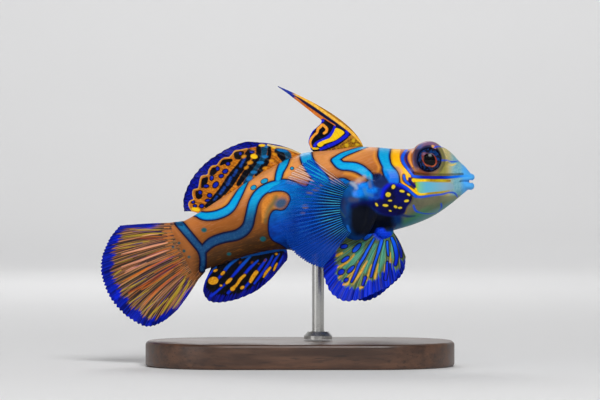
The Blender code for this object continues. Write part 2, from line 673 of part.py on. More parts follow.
def stand(model):
    """A flat base with round corners, a collar and one rod up to the belly."""
    outline = bpy.data.curves.new("stand_outline", "CURVE")
    outline.dimensions = "2D"
    outline.fill_mode = "BOTH"
    outline.extrude = STAND_THICKNESS / 2
    spline = outline.splines.new("POLY")
    corners = []
    steps = 8
    half = (STAND_LENGTH / 2 - STAND_CORNER, STAND_WIDTH / 2 - STAND_CORNER)
    for quarter, (i, k) in enumerate(((1, 1), (-1, 1), (-1, -1), (1, -1))):
        for step in range(steps + 1):
            angle = math.radians(90) * (quarter + step / steps)
            x = i * half[0] + STAND_CORNER * math.cos(angle)
            y = k * half[1] + STAND_CORNER * math.sin(angle)
            corners.append((x, y))
    spline.points.add(len(corners) - 1)
    for target, (x, y) in zip(spline.points, corners):
        target.co = (x, y, 0.0, 1.0)
    spline.use_cyclic_u = True
    base = bpy.data.objects.new("stand_base", outline)
    base.location.z = STAND_THICKNESS / 2
    outline.materials.append(material("stand_wood"))
    model.objects.link(base)
    weld = base.modifiers.new("weld", "WELD")
    weld.merge_threshold = WELD
    edge = base.modifiers.new("edge", "BEVEL")
    edge.width = STAND_EDGE
    edge.segments = 2
    edge.limit_method = "ANGLE"

    foot = side(ROD_PLACE)
    bottom = STAND_THICKNESS + GAP
    bm = bmesh.new()
    height = foot.z - bottom
    thin = ROD_RADIUS
    bmesh.ops.create_cone(bm, cap_ends=True, segments=20, radius1=thin, radius2=thin, depth=height)
    bmesh.ops.translate(bm, verts=bm.verts[:], vec=(foot.x, 0, bottom + height / 2))
    rod = mesh_object("stand_rod", bm, "stand_metal", model)

    inner = ROD_RADIUS + GAP
    profile = bmesh.new()
    shape = (
        (COLLAR_RADIUS, 0.0),
        (COLLAR_RADIUS, COLLAR_HEIGHT * COLLAR_SHOULDER),
        (COLLAR_RADIUS * COLLAR_TOP, COLLAR_HEIGHT),
        (inner, COLLAR_HEIGHT),
        (inner, 0.0),
    )
    points = [profile.verts.new((x, 0.0, z)) for x, z in reversed(shape)]
    for near, far in zip(points, points[1:] + points[:1]):
        profile.edges.new((near, far))
    collar = mesh_object("stand_collar", profile, "stand_metal", model)
    collar.location = (foot.x, 0.0, STAND_THICKNESS + GAP)
    turn = collar.modifiers.new("turn", "SCREW")
    turn.steps = 24
    turn.render_steps = 24
    turn.use_merge_vertices = True
    turn.merge_threshold = WELD
    return rod


def main():
    clear_scene()
    model = collection("mandarinfish")
    clear = collection("clearances", hidden=True)
    head(model, clear)
    trunk(model, clear)
    rod = stand(model)
    for obj in (*median_fins(model), *paired_fins(model), rod):
        combine(obj, clear, "DIFFERENCE")
    for helper in clear.objects:
        helper.hide_render = True
        helper.display_type = "WIRE"
    for obj in model.objects:
        if obj.type == "MESH":
            obj.data.shade_smooth()


main()
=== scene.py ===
"""Mandarinfish on a stand: skin, fins, eyes, stand and light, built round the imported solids."""

import math

import bpy
import numpy as np
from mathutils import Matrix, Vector
from mathutils.bvhtree import BVHTree


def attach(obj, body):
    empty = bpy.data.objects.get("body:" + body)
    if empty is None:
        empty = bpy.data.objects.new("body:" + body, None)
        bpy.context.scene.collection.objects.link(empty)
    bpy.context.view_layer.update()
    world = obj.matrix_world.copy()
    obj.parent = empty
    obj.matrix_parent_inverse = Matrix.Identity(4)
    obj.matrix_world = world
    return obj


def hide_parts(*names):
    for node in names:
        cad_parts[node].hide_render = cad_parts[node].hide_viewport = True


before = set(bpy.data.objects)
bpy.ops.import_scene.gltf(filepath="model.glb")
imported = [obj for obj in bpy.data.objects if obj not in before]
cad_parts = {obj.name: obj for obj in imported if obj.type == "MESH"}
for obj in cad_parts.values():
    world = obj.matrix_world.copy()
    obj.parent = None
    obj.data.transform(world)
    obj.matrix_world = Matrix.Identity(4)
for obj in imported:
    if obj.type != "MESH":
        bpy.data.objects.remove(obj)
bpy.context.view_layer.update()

# Sizes, the same as the solids'. Places are (right, down) in pixels of the side view
MM = 0.001
FISH_LENGTH = 70 * MM
FISH_LENGTH_SEEN = 384.7
PIXEL = FISH_LENGTH / FISH_LENGTH_SEEN
VIEW_WIDTH = 600
VIEW_MIDDLE = (300, 200)
STAND_LENGTH = 56 * MM
STAND_WIDTH = 34 * MM
STAND_THICKNESS = 4.5 * MM
STAND_CORNER = 15 * MM
STAND_EDGE = 0.6 * MM
TAIL_CLEARANCE = 2.4 * MM
LOWEST_TIP = 327.5
MIDDLE_HEIGHT = STAND_THICKNESS + TAIL_CLEARANCE + (LOWEST_TIP - VIEW_MIDDLE[1]) * PIXEL
CAMERA_DISTANCE = 0.6
SWAY = 2.6 * MM
SWAY_FROM = 320
SWAY_SPAN = 220
# The right side is towards -Y
HANDS = {"right": 1, "left": -1}

# Body stations from mouth to tail: place of the back, place of the belly, half width in mm, and the widest
# level as a share of the height
STATIONS = (
    (471, 174, 467.5, 190, 1.8, 0.5),
    (465.5, 167, 460.5, 196, 2.7, 0.48),
    (458.5, 160.6, 451, 203.8, 3.6, 0.45),
    (452, 153.4, 440, 211.8, 4.5, 0.41),
    (443, 147.2, 428, 218.6, 5.2, 0.38),
    (428, 144.6, 413, 224.6, 5.8, 0.39),
    (411, 148.8, 400, 228.6, 6.4, 0.42),
    (395, 148.9, 387, 232, 6.8, 0.45),
    (377, 147.4, 373, 237, 6.9, 0.48),
    (355, 147, 356, 243, 6.8, 0.5),
    (330, 150.3, 336, 249, 6.6, 0.52),
    (304, 153, 315, 252.5, 6.1, 0.53),
    (282, 162, 298, 251, 5.4, 0.54),
    (260, 174, 281, 249.3, 4.6, 0.55),
    (240, 186.5, 262, 252, 3.9, 0.55),
    (220, 199, 243, 257, 3.2, 0.55),
    (202, 210.5, 223, 264, 2.6, 0.54),
    (187, 219.3, 207, 269, 2.1, 0.52),
    (179, 222.2, 201, 270.8, 1.7, 0.5),
    (172, 223.8, 196, 276, 1, 0.5),
    (168.5, 225.4, 192.8, 277.8, 0.22, 0.5),
)
FULLNESS = 0.9
BODY_RINGS = 260
RING_POINTS = 120
SKIN_GRAIN = 0.165 * MM
SKIN_EASING = 5

EYE_PLACE = (428, 160)
EYE_OUT = 3.8 * MM
EYE_RADIUS = 2.55 * MM
LID_OPENING = 2.28 * MM
LID_RIM = 0.27 * MM
PELVIC_BASE = (384, 231)
PECTORAL_BASE = (353, 209)

# Swellings on each side, at the eye, the gill opening, the pelvic fin's root and, twice, the pectoral fin's
# base: place, how far out, and radii along, out and up
SWELLINGS = (
    ((428, 159.3), 3.42 * MM, (3.12 * MM, 2.9 * MM, 3.28 * MM)),
    ((380.5, 179.5), 5.45 * MM, (2.0 * MM, 1.5 * MM, 1.8 * MM)),
    (PELVIC_BASE, 2.9 * MM, (1.7 * MM, 1.3 * MM, 1.5 * MM)),
    (PECTORAL_BASE, 6.6 * MM, (15.5 * PIXEL, 2.05 * MM, 27 * PIXEL)),
    ((355, 207), 6.1 * MM, (21 * PIXEL, 1.75 * MM, 33 * PIXEL)),
)
# Lips: corner, front, radius
LIPS = (((463.5, 178.2), (471.4, 177.2), 0.64 * MM), ((462.5, 185), (470.6, 186.1), 0.72 * MM))
LIP_SPREAD = 1.8 * MM

# Fin rays: root, middle and tip of each (right, down)
FIRST_DORSAL_RAYS = (
    (364, 148.6, 338, 118, 277.8, 86.4), (356, 149.6, 337.5, 124.5, 292.3, 97),
    (348, 150.2, 333, 127.5, 313, 113.5), (340, 151.2, 331, 131, 321.5, 121.5),
    (333, 152.2, 322, 140.5, 312, 132), (326, 153, 315.5, 147, 308.6, 141.5),
    (319, 154.6, 314.5, 152.2, 311, 149),
)
SECOND_DORSAL_RAYS = (
    (303, 154.6, 284, 146.6, 262, 143), (290, 160, 268, 149, 246, 141.8),
    (277, 167, 255, 154.5, 231, 146.6), (264, 174.2, 242, 162, 217, 154.3),
    (251, 182, 229, 170.5, 204.5, 163.5), (238, 190, 217, 180, 194.5, 174.5),
    (225, 198.2, 206, 190.5, 187, 187), (212, 206.4, 198, 201.5, 183, 200),
    (200, 214, 192, 211.5, 184, 211.5),
)
ANAL_RAYS = (
    (286, 247, 287.5, 254, 287, 260), (280, 248.2, 277.5, 264, 271.5, 278),
    (271, 249, 266, 270, 258.5, 289.5), (261, 250.8, 254, 275, 245, 296.5),
    (251, 253.6, 242, 278, 231.5, 301), (240, 256.8, 230, 280, 219, 302.8),
    (229, 261, 218.5, 281.5, 208.5, 301), (219, 264.5, 210, 279, 203, 291.5),
    (211.5, 267, 208.5, 273.5, 205.5, 280),
)
CAUDAL_RAYS = (
    (182.5, 222.8, 150, 223.6, 119, 225.8), (184.5, 228.5, 145, 231.5, 109.5, 237.5),
    (186.5, 233.5, 145, 240.5, 103, 250.5), (189, 238.5, 145, 249.5, 100, 264),
    (191.5, 244, 147, 258.5, 101, 278.5), (194, 249.5, 150, 268, 106.5, 293),
    (196.5, 255, 154.5, 277.5, 116, 307.5), (199, 260, 160.5, 286.5, 129.5, 319.5),
    (201, 264.5, 170, 291.5, 146, 327), (202.5, 267.5, 181.5, 292, 162, 322.5),
    (203.5, 270, 191.5, 290, 177, 310),
)
PELVIC_RAYS = (
    (375, 229.5, 353, 234, 334.5, 243.5), (376.5, 230.5, 350, 241.5, 326, 256),
    (378, 231.5, 349, 249, 323, 269), (379.5, 232, 350.5, 256, 325.5, 282.5),
    (381, 232.5, 354, 262, 332, 293.5), (382.5, 233, 359, 266, 342.5, 299.8),
    (384, 233, 364.5, 267.5, 354.5, 299.6), (385.5, 233, 370.5, 265.5, 366, 295.8),
    (387, 232.5, 377.5, 262.5, 377.5, 290.5), (388.5, 231.5, 384.5, 258.5, 387, 286),
    (390, 230.5, 391, 253, 394.5, 278.5), (391.5, 229.5, 397, 246, 399.5, 266),
)
PELVIC_OUT = (2.9 * MM, 4.6 * MM, 6.6 * MM)
PELVIC_OUT_LEFT = (2.9 * MM, 5.2 * MM, 8.4 * MM)
PELVIC_CUP = 0.6 * MM
PELVIC_FORWARD = math.radians(17)
PELVIC_FORESHORTEN = 0.92
# The pectoral fin fans out from an oval rim, with its rays' angles counted from straight up
PECTORAL_BASE_RIM = (15, 27)
PECTORAL_RAYS = 15
PECTORAL_ROOT_ANGLES = (math.radians(14), math.radians(170))
PECTORAL_TIP_ANGLES = (math.radians(40), math.radians(152))
PECTORAL_REACH = (66, 10)
PECTORAL_ROOT_SHARE = 0.8
PECTORAL_OUT = (7.35 * MM, 8.7 * MM, 10.4 * MM)
PECTORAL_CUP = 1.0 * MM
MEMBRANE = 0.13 * MM
RIDGE = 0.16 * MM
# The share of each ray over which its foot is thicker
FOOT_SHARE = 0.3


def side(places, out=0):
    """Points of the model at places (right, down) of the side view, moved out towards -Y."""
    places = np.asarray(places, dtype=float)
    x = (places[..., 0] - VIEW_MIDDLE[0]) * PIXEL
    z = MIDDLE_HEIGHT + (VIEW_MIDDLE[1] - places[..., 1]) * PIXEL
    return np.stack([x, 0 * x - out, z], -1)


def seen(points, near=1):
    """Places of the side view where points show, near times further from its middle."""
    right = VIEW_MIDDLE[0] + points[:, 0] / PIXEL * near
    down = VIEW_MIDDLE[1] - (points[:, 2] - MIDDLE_HEIGHT) / PIXEL * near
    return np.stack([right, down], -1)


def sway(x):
    """How far the tail's swing moves the flesh at x towards +Y."""
    share = np.maximum(0, (SWAY_FROM - (x / PIXEL + VIEW_MIDDLE[0])) / SWAY_SPAN)
    return SWAY * share * share


def blend(rows, t):
    """Rows at the numbers t: a smooth curve through given rows."""
    rows = np.asarray(rows, dtype=float)
    t = np.atleast_1d(np.asarray(t, dtype=float))
    last = len(rows) - 1
    i = np.clip(t.astype(int), 0, last - 1)
    f = (t - i)[:, None]
    a, b, c, d = (rows[np.clip(i + k, 0, last)] for k in (-1, 0, 1, 2))
    return 0.5 * (2 * b + (c - a) * f + (2 * a - 5 * b + 4 * c - d) * f**2 + (3 * b - a - 3 * c + d) * f**3)


def bent(root, middle, tip, t):
    """An arc from root through middle to tip, at the shares t of its way."""
    hold = 2 * middle - 0.5 * (root + tip)
    return root * (1 - t) ** 2 + hold * 2 * t * (1 - t) + tip * t**2


def squarer(value):
    """Makes round sections of the body a little fuller."""
    return np.sign(value) * np.abs(value) ** FULLNESS


# Meshes


def make(name, points, faces):
    """A smooth-shaded mesh object from points and faces."""
    mesh = bpy.data.meshes.new(name)
    mesh.from_pydata([tuple(p) for p in points], [], [tuple(int(i) for i in f) for f in faces])
    mesh.validate()
    obj = bpy.data.objects.new(name, mesh)
    bpy.context.scene.collection.objects.link(obj)
    mesh.shade_smooth()
    return obj


def grid_faces(rows, columns, start=0, wrap=False, flip=False):
    """Quads over a grid of points kept row by row."""
    i, k = np.meshgrid(np.arange(rows - 1), np.arange(columns if wrap else columns - 1), indexing="ij")
    n = (k + 1) % columns
    quads = np.stack([i * columns + k, (i + 1) * columns + k, (i + 1) * columns + n, i * columns + n], -1)
    quads = quads.reshape(-1, 4) + start
    return quads[:, ::-1] if flip else quads


def closed_sheet(name, points, thick):
    """A sheet through columns of points, thickened along its normals and closed all round."""
    columns, lengths = points.shape[:2]
    normal = np.cross(np.gradient(points, axis=0), np.gradient(points, axis=1))
    normal /= np.linalg.norm(normal, axis=-1, keepdims=True) + 1e-12
    half = (thick / 2).reshape(columns, lengths, 1)
    both = np.concatenate([points + normal * half, points - normal * half]).reshape(-1, 3)
    count = columns * lengths
    number = np.arange(count).reshape(columns, lengths)
    border = np.concatenate([number[0], number[1:, -1], number[-1, -2::-1], number[-2:0:-1, 0]])
    ahead = np.roll(border, -1)
    rim = np.stack([border, border + count, ahead + count, ahead], -1)[:, ::-1]
    sides = [grid_faces(columns, lengths), grid_faces(columns, lengths, count, flip=True)]
    return make(name, both, np.concatenate([*sides, rim]))


def sphere(rings, around, gap):
    """Rings of points round the Z axis on a ball of radius 1, with a gap in radians at each pole."""
    lat = np.linspace(gap, math.pi - gap, rings)[:, None]
    lon = np.linspace(0, math.tau, around, endpoint=False)[None]
    return np.stack([np.sin(lat) * np.cos(lon), np.sin(lat) * np.sin(lon), np.cos(lat) + 0 * lon], -1)


class Lump:
    """Closed shells gathered into one mesh."""

    def __init__(self):
        self.points, self.faces, self.count = [], [], 0

    def tube(self, rings):
        """A closed tube through rings of points."""
        rows, columns = rings.shape[:2]
        base = self.count
        first = base + rows * columns
        top = first - columns
        self.points += [rings.reshape(-1, 3), np.array([rings[0].mean(0), rings[-1].mean(0)])]
        self.faces.extend(grid_faces(rows, columns, base, wrap=True))
        for k in range(columns):
            n = (k + 1) % columns
            self.faces.append((first, base + k, base + n))
            self.faces.append((first + 1, top + n, top + k))
        self.count = first + 2

    def pipe(self, path, radii, around, pole):
        """A round pipe along a path that never runs along the pole."""
        ahead = np.gradient(path, axis=0)
        ahead /= np.linalg.norm(ahead, axis=1, keepdims=True)
        pole = np.asarray(pole, dtype=float)
        up = pole - ahead * (ahead @ pole)[:, None]
        up /= np.linalg.norm(up, axis=1, keepdims=True)
        across = np.cross(ahead, up)
        turn = np.linspace(0, math.tau, around, endpoint=False)
        ring = np.cos(turn)[None, :, None] * up[:, None] + np.sin(turn)[None, :, None] * across[:, None]
        self.tube(path[:, None] + ring * np.asarray(radii)[:, None, None])

    def built(self, name):
        return make(name, np.concatenate(self.points), self.faces)


def loft(t, angles):
    """Points of the body's surface at stations t and angles from the back."""
    row = blend(STATIONS, t)
    back, belly = side(row[:, 0:2]), side(row[:, 2:4])
    half_width, level = row[:, 4:5] * MM, row[:, 5:6]
    height = np.linalg.norm(back - belly, axis=1, keepdims=True)
    up = (back - belly) / height
    rise = height * np.where(np.cos(angles)[None] > 0, 1 - level, level) * squarer(np.cos(angles))[None]
    middle = belly + up * (height * level)
    points = middle[:, None] + up[:, None] * rise[..., None]
    points[..., 1] += half_width * squarer(np.sin(angles))[None]
    return points


def lid_rim(lump, hand):
    """The rim of one eye's lids, as short pipes that overlap, sunk a little into the eyeball."""
    pieces, steps, overlap = 8, 5, 2
    sunk, clearance = 0.05 * MM, 0.2 * MM
    turn = np.linspace(0, math.tau, pieces * steps, endpoint=False)
    depth = math.sqrt(EYE_RADIUS**2 - LID_OPENING**2) - sunk
    centre = side(EYE_PLACE, hand * (EYE_OUT + depth))
    ring = centre + np.stack([np.cos(turn), 0 * turn, np.sin(turn)], -1) * (LID_OPENING + clearance)
    for i in range(pieces):
        piece = np.take(ring, range(i * steps, (i + 1) * steps + overlap), axis=0, mode="wrap")
        lump.pipe(piece, np.full(len(piece), LID_RIM), 10, (0, 1, 0))


def lips(lump):
    """Two rounded lips, each from corner to corner round the front of the mouth."""
    turn = np.linspace(-math.pi / 2, math.pi / 2, 26)
    share = np.maximum(np.cos(turn), 0) ** 0.7
    for corner, front, radius in LIPS:
        corner, front = np.array(corner), np.array(front)
        path = side(corner + (front - corner) * share[:, None], LIP_SPREAD * np.sin(turn))
        lump.pipe(path, radius * (0.55 + 0.45 * share), 14, (0, 0, 1))


def tail_ray_roots(lump):
    """The tail fin's rays start as fleshy roots that thin out."""
    thick, taper, end = 0.56, 1.4, 0.3
    t = np.linspace(0, end, 12)
    for count in np.arange(0.25, len(CAUDAL_RAYS) - 1.2, 0.5):
        root, middle, tip = blend(CAUDAL_RAYS, count)[0].reshape(3, 2)
        lump.pipe(side(bent(root, middle, tip, t[:, None])), (thick - taper * t) * MM, 10, (0, 1, 0))


def skin_shells():
    """The body and all that swells from it, as closed shells."""
    lump = Lump()
    stations = np.linspace(0, len(STATIONS) - 1, BODY_RINGS)
    lump.tube(loft(stations, np.linspace(0, math.tau, RING_POINTS, endpoint=False)))
    for hand in HANDS.values():
        for place, out, radii in SWELLINGS:
            lump.tube(sphere(rings=28, around=36, gap=0.02) * radii + side(place, hand * out))
        lid_rim(lump, hand)
    lips(lump)
    tail_ray_roots(lump)
    obj = lump.built("skin_shells")
    points = coordinates(obj)
    points[:, 1] += sway(points[:, 0])
    put(obj, points)
    return obj


def fused(obj, grain, passes):
    """The shells as one even skin, smoothed where they meet."""
    remesh = obj.modifiers.new("fuse", "REMESH")
    remesh.mode = "VOXEL"
    remesh.voxel_size = grain
    smooth = obj.modifiers.new("ease", "SMOOTH")
    smooth.factor = 0.5
    smooth.iterations = passes
    bpy.context.view_layer.update()
    graph = bpy.context.evaluated_depsgraph_get()
    mesh = bpy.data.meshes.new_from_object(obj.evaluated_get(graph))
    bpy.data.objects.remove(obj)
    made = bpy.data.objects.new("skin", mesh)
    bpy.context.scene.collection.objects.link(made)
    mesh.shade_smooth()
    return made


def coordinates(obj):
    flat = np.empty(len(obj.data.vertices) * 3)
    obj.data.vertices.foreach_get("co", flat)
    return flat.reshape(-1, 3)


def normals(obj):
    flat = np.empty(len(obj.data.vertices) * 3)
    obj.data.vertex_normals.foreach_get("vector", flat)
    return flat.reshape(-1, 3)


def put(obj, points):
    obj.data.vertices.foreach_set("co", points.reshape(-1))
    obj.data.update()


def keep(obj, name, values):
    """Keeps one value for each point, for the shader."""
    layer = obj.data.attributes.new(name, "FLOAT", "POINT")
    layer.data.foreach_set("value", np.ascontiguousarray(values, dtype=np.float32))


# Marks, placed in the side view: an oval is (right, down, radius along, radius across, tilt in
# degrees), a line has places of (right, down, half width), and an outline has places of (right, down)

# How far from a mark its distance is kept, in mm
REACH = 1.5
HOOK_REACH = 2.0
WIDE_REACH = 3.0
FACE_REACH = 4.0


def even(half_width, *places):
    """A line with one half width."""
    return [(*place, half_width) for place in places]


def oval(right, down, along, across, tilt=0):
    """The outline of an oval."""
    turn = np.linspace(0, math.tau, 10, endpoint=False)
    c, s = math.cos(math.radians(tilt)), math.sin(math.radians(tilt))
    x, y = along * np.cos(turn), across * np.sin(turn)
    return np.stack([right + x * c - y * s, down + x * s + y * c], -1)


def curve(places, spacing=1.4, closed=False):
    """A smooth line through the places, as close steps."""
    rows = np.asarray(places, dtype=float)
    step, nudge = 0.02, 1e-9
    if closed:
        rows = np.concatenate([rows[-1:], rows, rows[:2]])
        t = np.arange(1, len(rows) - 2 + nudge, step)
    else:
        t = np.arange(0, len(rows) - 1 + nudge, step)
    line = blend(rows, t)
    travel = np.concatenate([[0], np.cumsum(np.linalg.norm(np.diff(line[:, :2], axis=0), axis=1))])
    at = np.linspace(0, travel[-1], max(2, int(travel[-1] / spacing) + 1))
    return np.stack([np.interp(at, travel, line[:, k]) for k in range(line.shape[1])], -1)


def nearest(points, line, widths, reach):
    """How far each point is outside a line that is widths thick on each side, up to reach."""
    value = np.full(len(points), reach)
    run = 8
    for start in range(0, max(1, len(line) - 1), run):
        part, wide = line[start : start + run + 1], widths[start : start + run + 1]
        far = wide.max() + reach
        pick = np.flatnonzero(((points > part.min(0) - far) & (points < part.max(0) + far)).all(1))
        if not len(pick) or len(part) < 2:
            continue
        near, step = part[:-1], np.diff(part, axis=0)
        length = (step**2).sum(1) + 1e-12
        offset = points[pick, None] - near[None]
        share = np.clip((offset * step).sum(-1) / length, 0, 1)
        gap = np.sqrt(((offset - share[..., None] * step) ** 2).sum(-1))
        gap -= wide[:-1] + share * np.diff(wide)
        value[pick] = np.minimum(value[pick], gap.min(1))
    return value


def inside(places, outline):
    """True for places within an outline."""
    found = np.zeros(len(places), dtype=bool)
    pick = np.flatnonzero(((places > outline.min(0)) & (places < outline.max(0))).all(1))
    x, y = places[pick, 0], places[pick, 1]
    odd = np.zeros(len(pick), dtype=bool)
    for (ax, ay), (bx, by) in zip(outline, np.roll(outline, -1, axis=0)):
        if ay != by:
            odd ^= ((ay > y) != (by > y)) & (x < (bx - ax) * (y - ay) / (by - ay) + ax)
    found[pick] = odd
    return found


class Canvas:
    """Measures distances to marks, in mm, from points that each have a place in the side view."""

    def __init__(self, places, points=None, lift=None):
        self.places = places
        self.points = places * PIXEL / MM if points is None else points
        self.lift = lift or (lambda line: line * PIXEL / MM)

    def blank(self, reach=REACH):
        return np.full(len(self.places), reach)

    def stroke(self, line, reach=REACH):
        """Distance outside a line of varying half width in pixels."""
        line = curve(line)
        return nearest(self.points, self.lift(line[:, :2]), line[:, 2] * PIXEL / MM, reach)

    def patch(self, outline, reach=REACH):
        """Distance outside an outline, negative within it."""
        line = curve(outline, closed=True)
        value = nearest(self.points, self.lift(line), np.zeros(len(line)), reach)
        return np.where(inside(self.places, line), -value, value)

    def marks(self, shapes, reach=REACH):
        """Distance outside the nearest of some ovals, lines and outlines."""
        value = self.blank(reach)
        for shape in shapes:
            if np.ndim(shape) == 1:
                shape = oval(*shape)
            measure = self.stroke if len(shape[0]) == 3 else self.patch
            value = np.minimum(value, measure(shape, reach))
        return value


# Materials

FINE = 0.35 * MM
BROAD = 2.6 * MM
WAVER = 0.9 * MM
NAVY_EDGE = (8, 8, 40)


def linear(colour):
    """A screen colour from 0 to 255 as linear light."""
    share = np.asarray(colour, dtype=float) / 255
    light = np.where(share <= 0.04045, share / 12.92, ((share + 0.055) / 1.055) ** 2.4)
    return tuple(float(v) for v in light)


class Paint:
    """Builds one layered material from a piece's own measures."""

    def __init__(self, name, roughness=0.35, coat=0.4, coat_roughness=0.12, specular=0.5):
        self.material = bpy.data.materials.new(name)
        self.material.use_nodes = True
        self.tree = self.material.node_tree
        self.shader = self.tree.nodes["Principled BSDF"]
        self.shader.inputs["Roughness"].default_value = roughness
        self.shader.inputs["Coat Weight"].default_value = coat
        self.shader.inputs["Coat Roughness"].default_value = coat_roughness
        self.shader.inputs["Specular IOR Level"].default_value = specular
        self.coords = self.node("ShaderNodeTexCoord").outputs["Object"]
        self.wavered = {}
        self.top = None

    def link(self, source, target):
        """Feeds a socket from another socket or with a constant."""
        if isinstance(source, bpy.types.NodeSocket):
            self.tree.links.new(source, target)
        else:
            target.default_value = source

    def node(self, kind, inputs=None, **values):
        """A new node with these properties and inputs."""
        made = self.tree.nodes.new(kind)
        for key, value in values.items():
            setattr(made, key, value)
        for key, value in (inputs or {}).items():
            self.link(value, made.inputs[key])
        return made

    def attribute(self, name):
        return self.node("ShaderNodeAttribute", attribute_name=name).outputs["Fac"]

    def math(self, kind, *values):
        return self.node("ShaderNodeMath", dict(enumerate(values)), operation=kind).outputs[0]

    def times(self, a, b):
        return self.math("MULTIPLY", a, b)

    def larger(self, a, b):
        return self.math("MAXIMUM", a, b)

    def noise(self, size, detail=3, roughness=0.55, stretch=None):
        """Noise with features of about this size in metres."""
        place = self.coords
        if stretch:
            place = self.node("ShaderNodeMapping", {"Vector": place, "Scale": stretch}).outputs["Vector"]
        inputs = {"Vector": place, "Scale": 1 / size, "Detail": detail, "Roughness": roughness}
        return self.node("ShaderNodeTexNoise", inputs).outputs["Fac"]

    def streaks(self, x, y, distortion=0):
        """Noise over the plane of two measures."""
        place = self.node("ShaderNodeCombineXYZ", {0: x, 1: y}).outputs[0]
        inputs = {"Vector": place, "Scale": 1, "Detail": 3, "Distortion": distortion}
        return self.node("ShaderNodeTexNoise", inputs).outputs["Fac"]

    def ramp(self, value, low, high, least=0, most=1):
        """A soft step of value from low to high."""
        inputs = {"Value": value, "From Min": low, "From Max": high, "To Min": least, "To Max": most}
        return self.node("ShaderNodeMapRange", inputs, interpolation_type="SMOOTHSTEP").outputs["Result"]

    def mix(self, share, a, b):
        """Two colours mixed, each a socket or a screen colour."""
        a, b = (c if isinstance(c, bpy.types.NodeSocket) else (*linear(c), 1) for c in (a, b))
        return self.node("ShaderNodeMix", {0: share, 6: a, 7: b}, data_type="RGBA").outputs[2]

    def step(self, value, low, high, a, b):
        """Colour a up to low and b from high on."""
        return self.mix(self.ramp(value, low, high), a, b)

    def mottle(self, noise, a, b, spread=0.2):
        """Colour a in the noise's hollows and b on its heights."""
        return self.step(noise, 0.5 - spread, 0.5 + spread, a, b)

    def over(self, ground, *coats):
        """Coats on a ground, each (share, colour) or (value, low, high, colour, least share, most share)."""
        for coat in coats:
            share, colour = coat if len(coat) == 2 else (self.ramp(*coat[:3], *coat[4:]), coat[3])
            ground = self.mix(share, ground, colour)
        return ground

    def lay(self, *coats):
        """Coats laid on all that is there."""
        self.top = self.over(self.top, *coats)

    def layer(self, measure, colour, edge=0, soft=0.06, strength=1, waver=0.04):
        """Lays a colour where a measure, given by name or as a socket, is under edge."""
        if isinstance(measure, str):
            measure = self.uneven(measure, waver) if waver else self.attribute(measure)
        self.lay((measure, edge - soft, edge + soft, colour, strength, 0))

    def layers(self, *rows):
        """Layers one on another, each the values of layer."""
        for row in rows:
            self.layer(*row)

    def uneven(self, name, amount):
        """A piece's measure with its edge made a little uneven, in mm."""
        if (name, amount) not in self.wavered:
            bend = self.math("MULTIPLY_ADD", self.noise(WAVER), 2 * amount, -amount)
            self.wavered[name, amount] = self.math("ADD", self.attribute(name), bend)
        return self.wavered[name, amount]

    def bump(self, distance, *heights):
        """Adds relief from (height, strength) pairs."""
        normal = None
        for height, strength in heights:
            inputs = {"Strength": strength, "Distance": distance, "Height": height}
            if normal:
                inputs["Normal"] = normal
            normal = self.node("ShaderNodeBump", inputs).outputs["Normal"]
        self.link(normal, self.shader.inputs["Normal"])

    def finish(self, obj):
        self.link(self.top, self.shader.inputs["Base Color"])
        obj.data.materials.clear()
        obj.data.materials.append(self.material)


# Body skin

# Each blue band: its line, and how cyan it is
BANDS = (
    (((385, 147, 5.6), (383.8, 155, 5.4), (385, 161, 4.8), (387, 166, 4.4), (388.6, 170.5, 5.8),
      (391, 175.2, 7), (393.2, 180, 5.9), (394.6, 184.4, 4.6)), 0.9),
    (((366, 146.2, 3.5), (353, 150.6, 3.5), (342.5, 154.8, 3.5), (335.5, 159.6, 3.5)), 1),
    (((335.5, 160, 4), (341, 165.2, 4.4), (348, 166, 4.4), (355, 167, 4.6), (361, 169.6, 4.4),
      (366, 173.4, 4), (371, 177.5, 3.2)), 1),
    (((305.5, 151, 5.6), (306.5, 158, 5.8), (310, 166, 6), (315.5, 173, 6.4), (321.5, 180, 6.8),
      (326, 186, 5)), 0.85),
    (((285.5, 158, 5.6), (283, 165, 5.2), (279.8, 172, 3.8), (278.2, 179, 3)), 1),
    (((280, 183.5, 3.4), (271, 186, 4.2), (260.5, 192, 4.6), (253.8, 202, 4.6), (250.5, 215, 4.4),
      (247, 227, 4.6), (238, 234.5, 4.6), (223, 238, 4.4), (211.5, 242.4, 4.2), (203, 250, 3.6)), 0.95),
    (((178.5, 222.5, 3.4), (186, 231.5, 3.4), (194.4, 241.6, 3.4), (201.2, 250.2, 3.4), (203, 259, 2.7),
      (202.6, 269.5, 2.6)), 0.3),
    (((249, 178, 3.4), (242, 188, 4), (236.5, 198, 4), (229.5, 208.5, 4.2), (218, 214.5, 4.2),
      (205, 216, 4), (196, 212.5, 3)), 1),
)
SADDLE_BAND, STALK_BAND = BANDS[3][0], BANDS[6][0]
FLANK = (
    (279, 180.6), (285, 179.8), (291, 181), (297, 183.6), (303, 187.2), (307.5, 186.4), (310.6, 181),
    (318, 176), (327, 180.5), (333, 180), (343, 178.6), (350, 181.5), (357, 184.5), (365, 183.5),
    (370, 180), (380, 176), (388, 184), (390, 200), (396, 215), (396, 226), (386, 236), (360, 250),
    (330, 258), (300, 258), (290.5, 256), (288, 250), (282, 244.8), (274.5, 241), (270.2, 236),
    (268.8, 228), (269.6, 219), (272.2, 212.6), (276, 210.6), (281, 211.2), (285.5, 209.4), (289, 204.6),
    (291, 198.6), (288.6, 193.4), (283, 190.6), (275, 190.6), (268, 192), (270, 186),
)
FACE_EDGE = (
    (391.5, 240), (392, 228), (396, 218), (402, 208), (408, 199), (414, 194), (418, 186), (414, 179),
    (416, 176), (440, 172), (439.6, 160), (436, 150), (430, 146), (431, 138), (480, 138), (480, 240),
)
HOOK_CORE = (281, 203.5, 6, 4.6, -30)
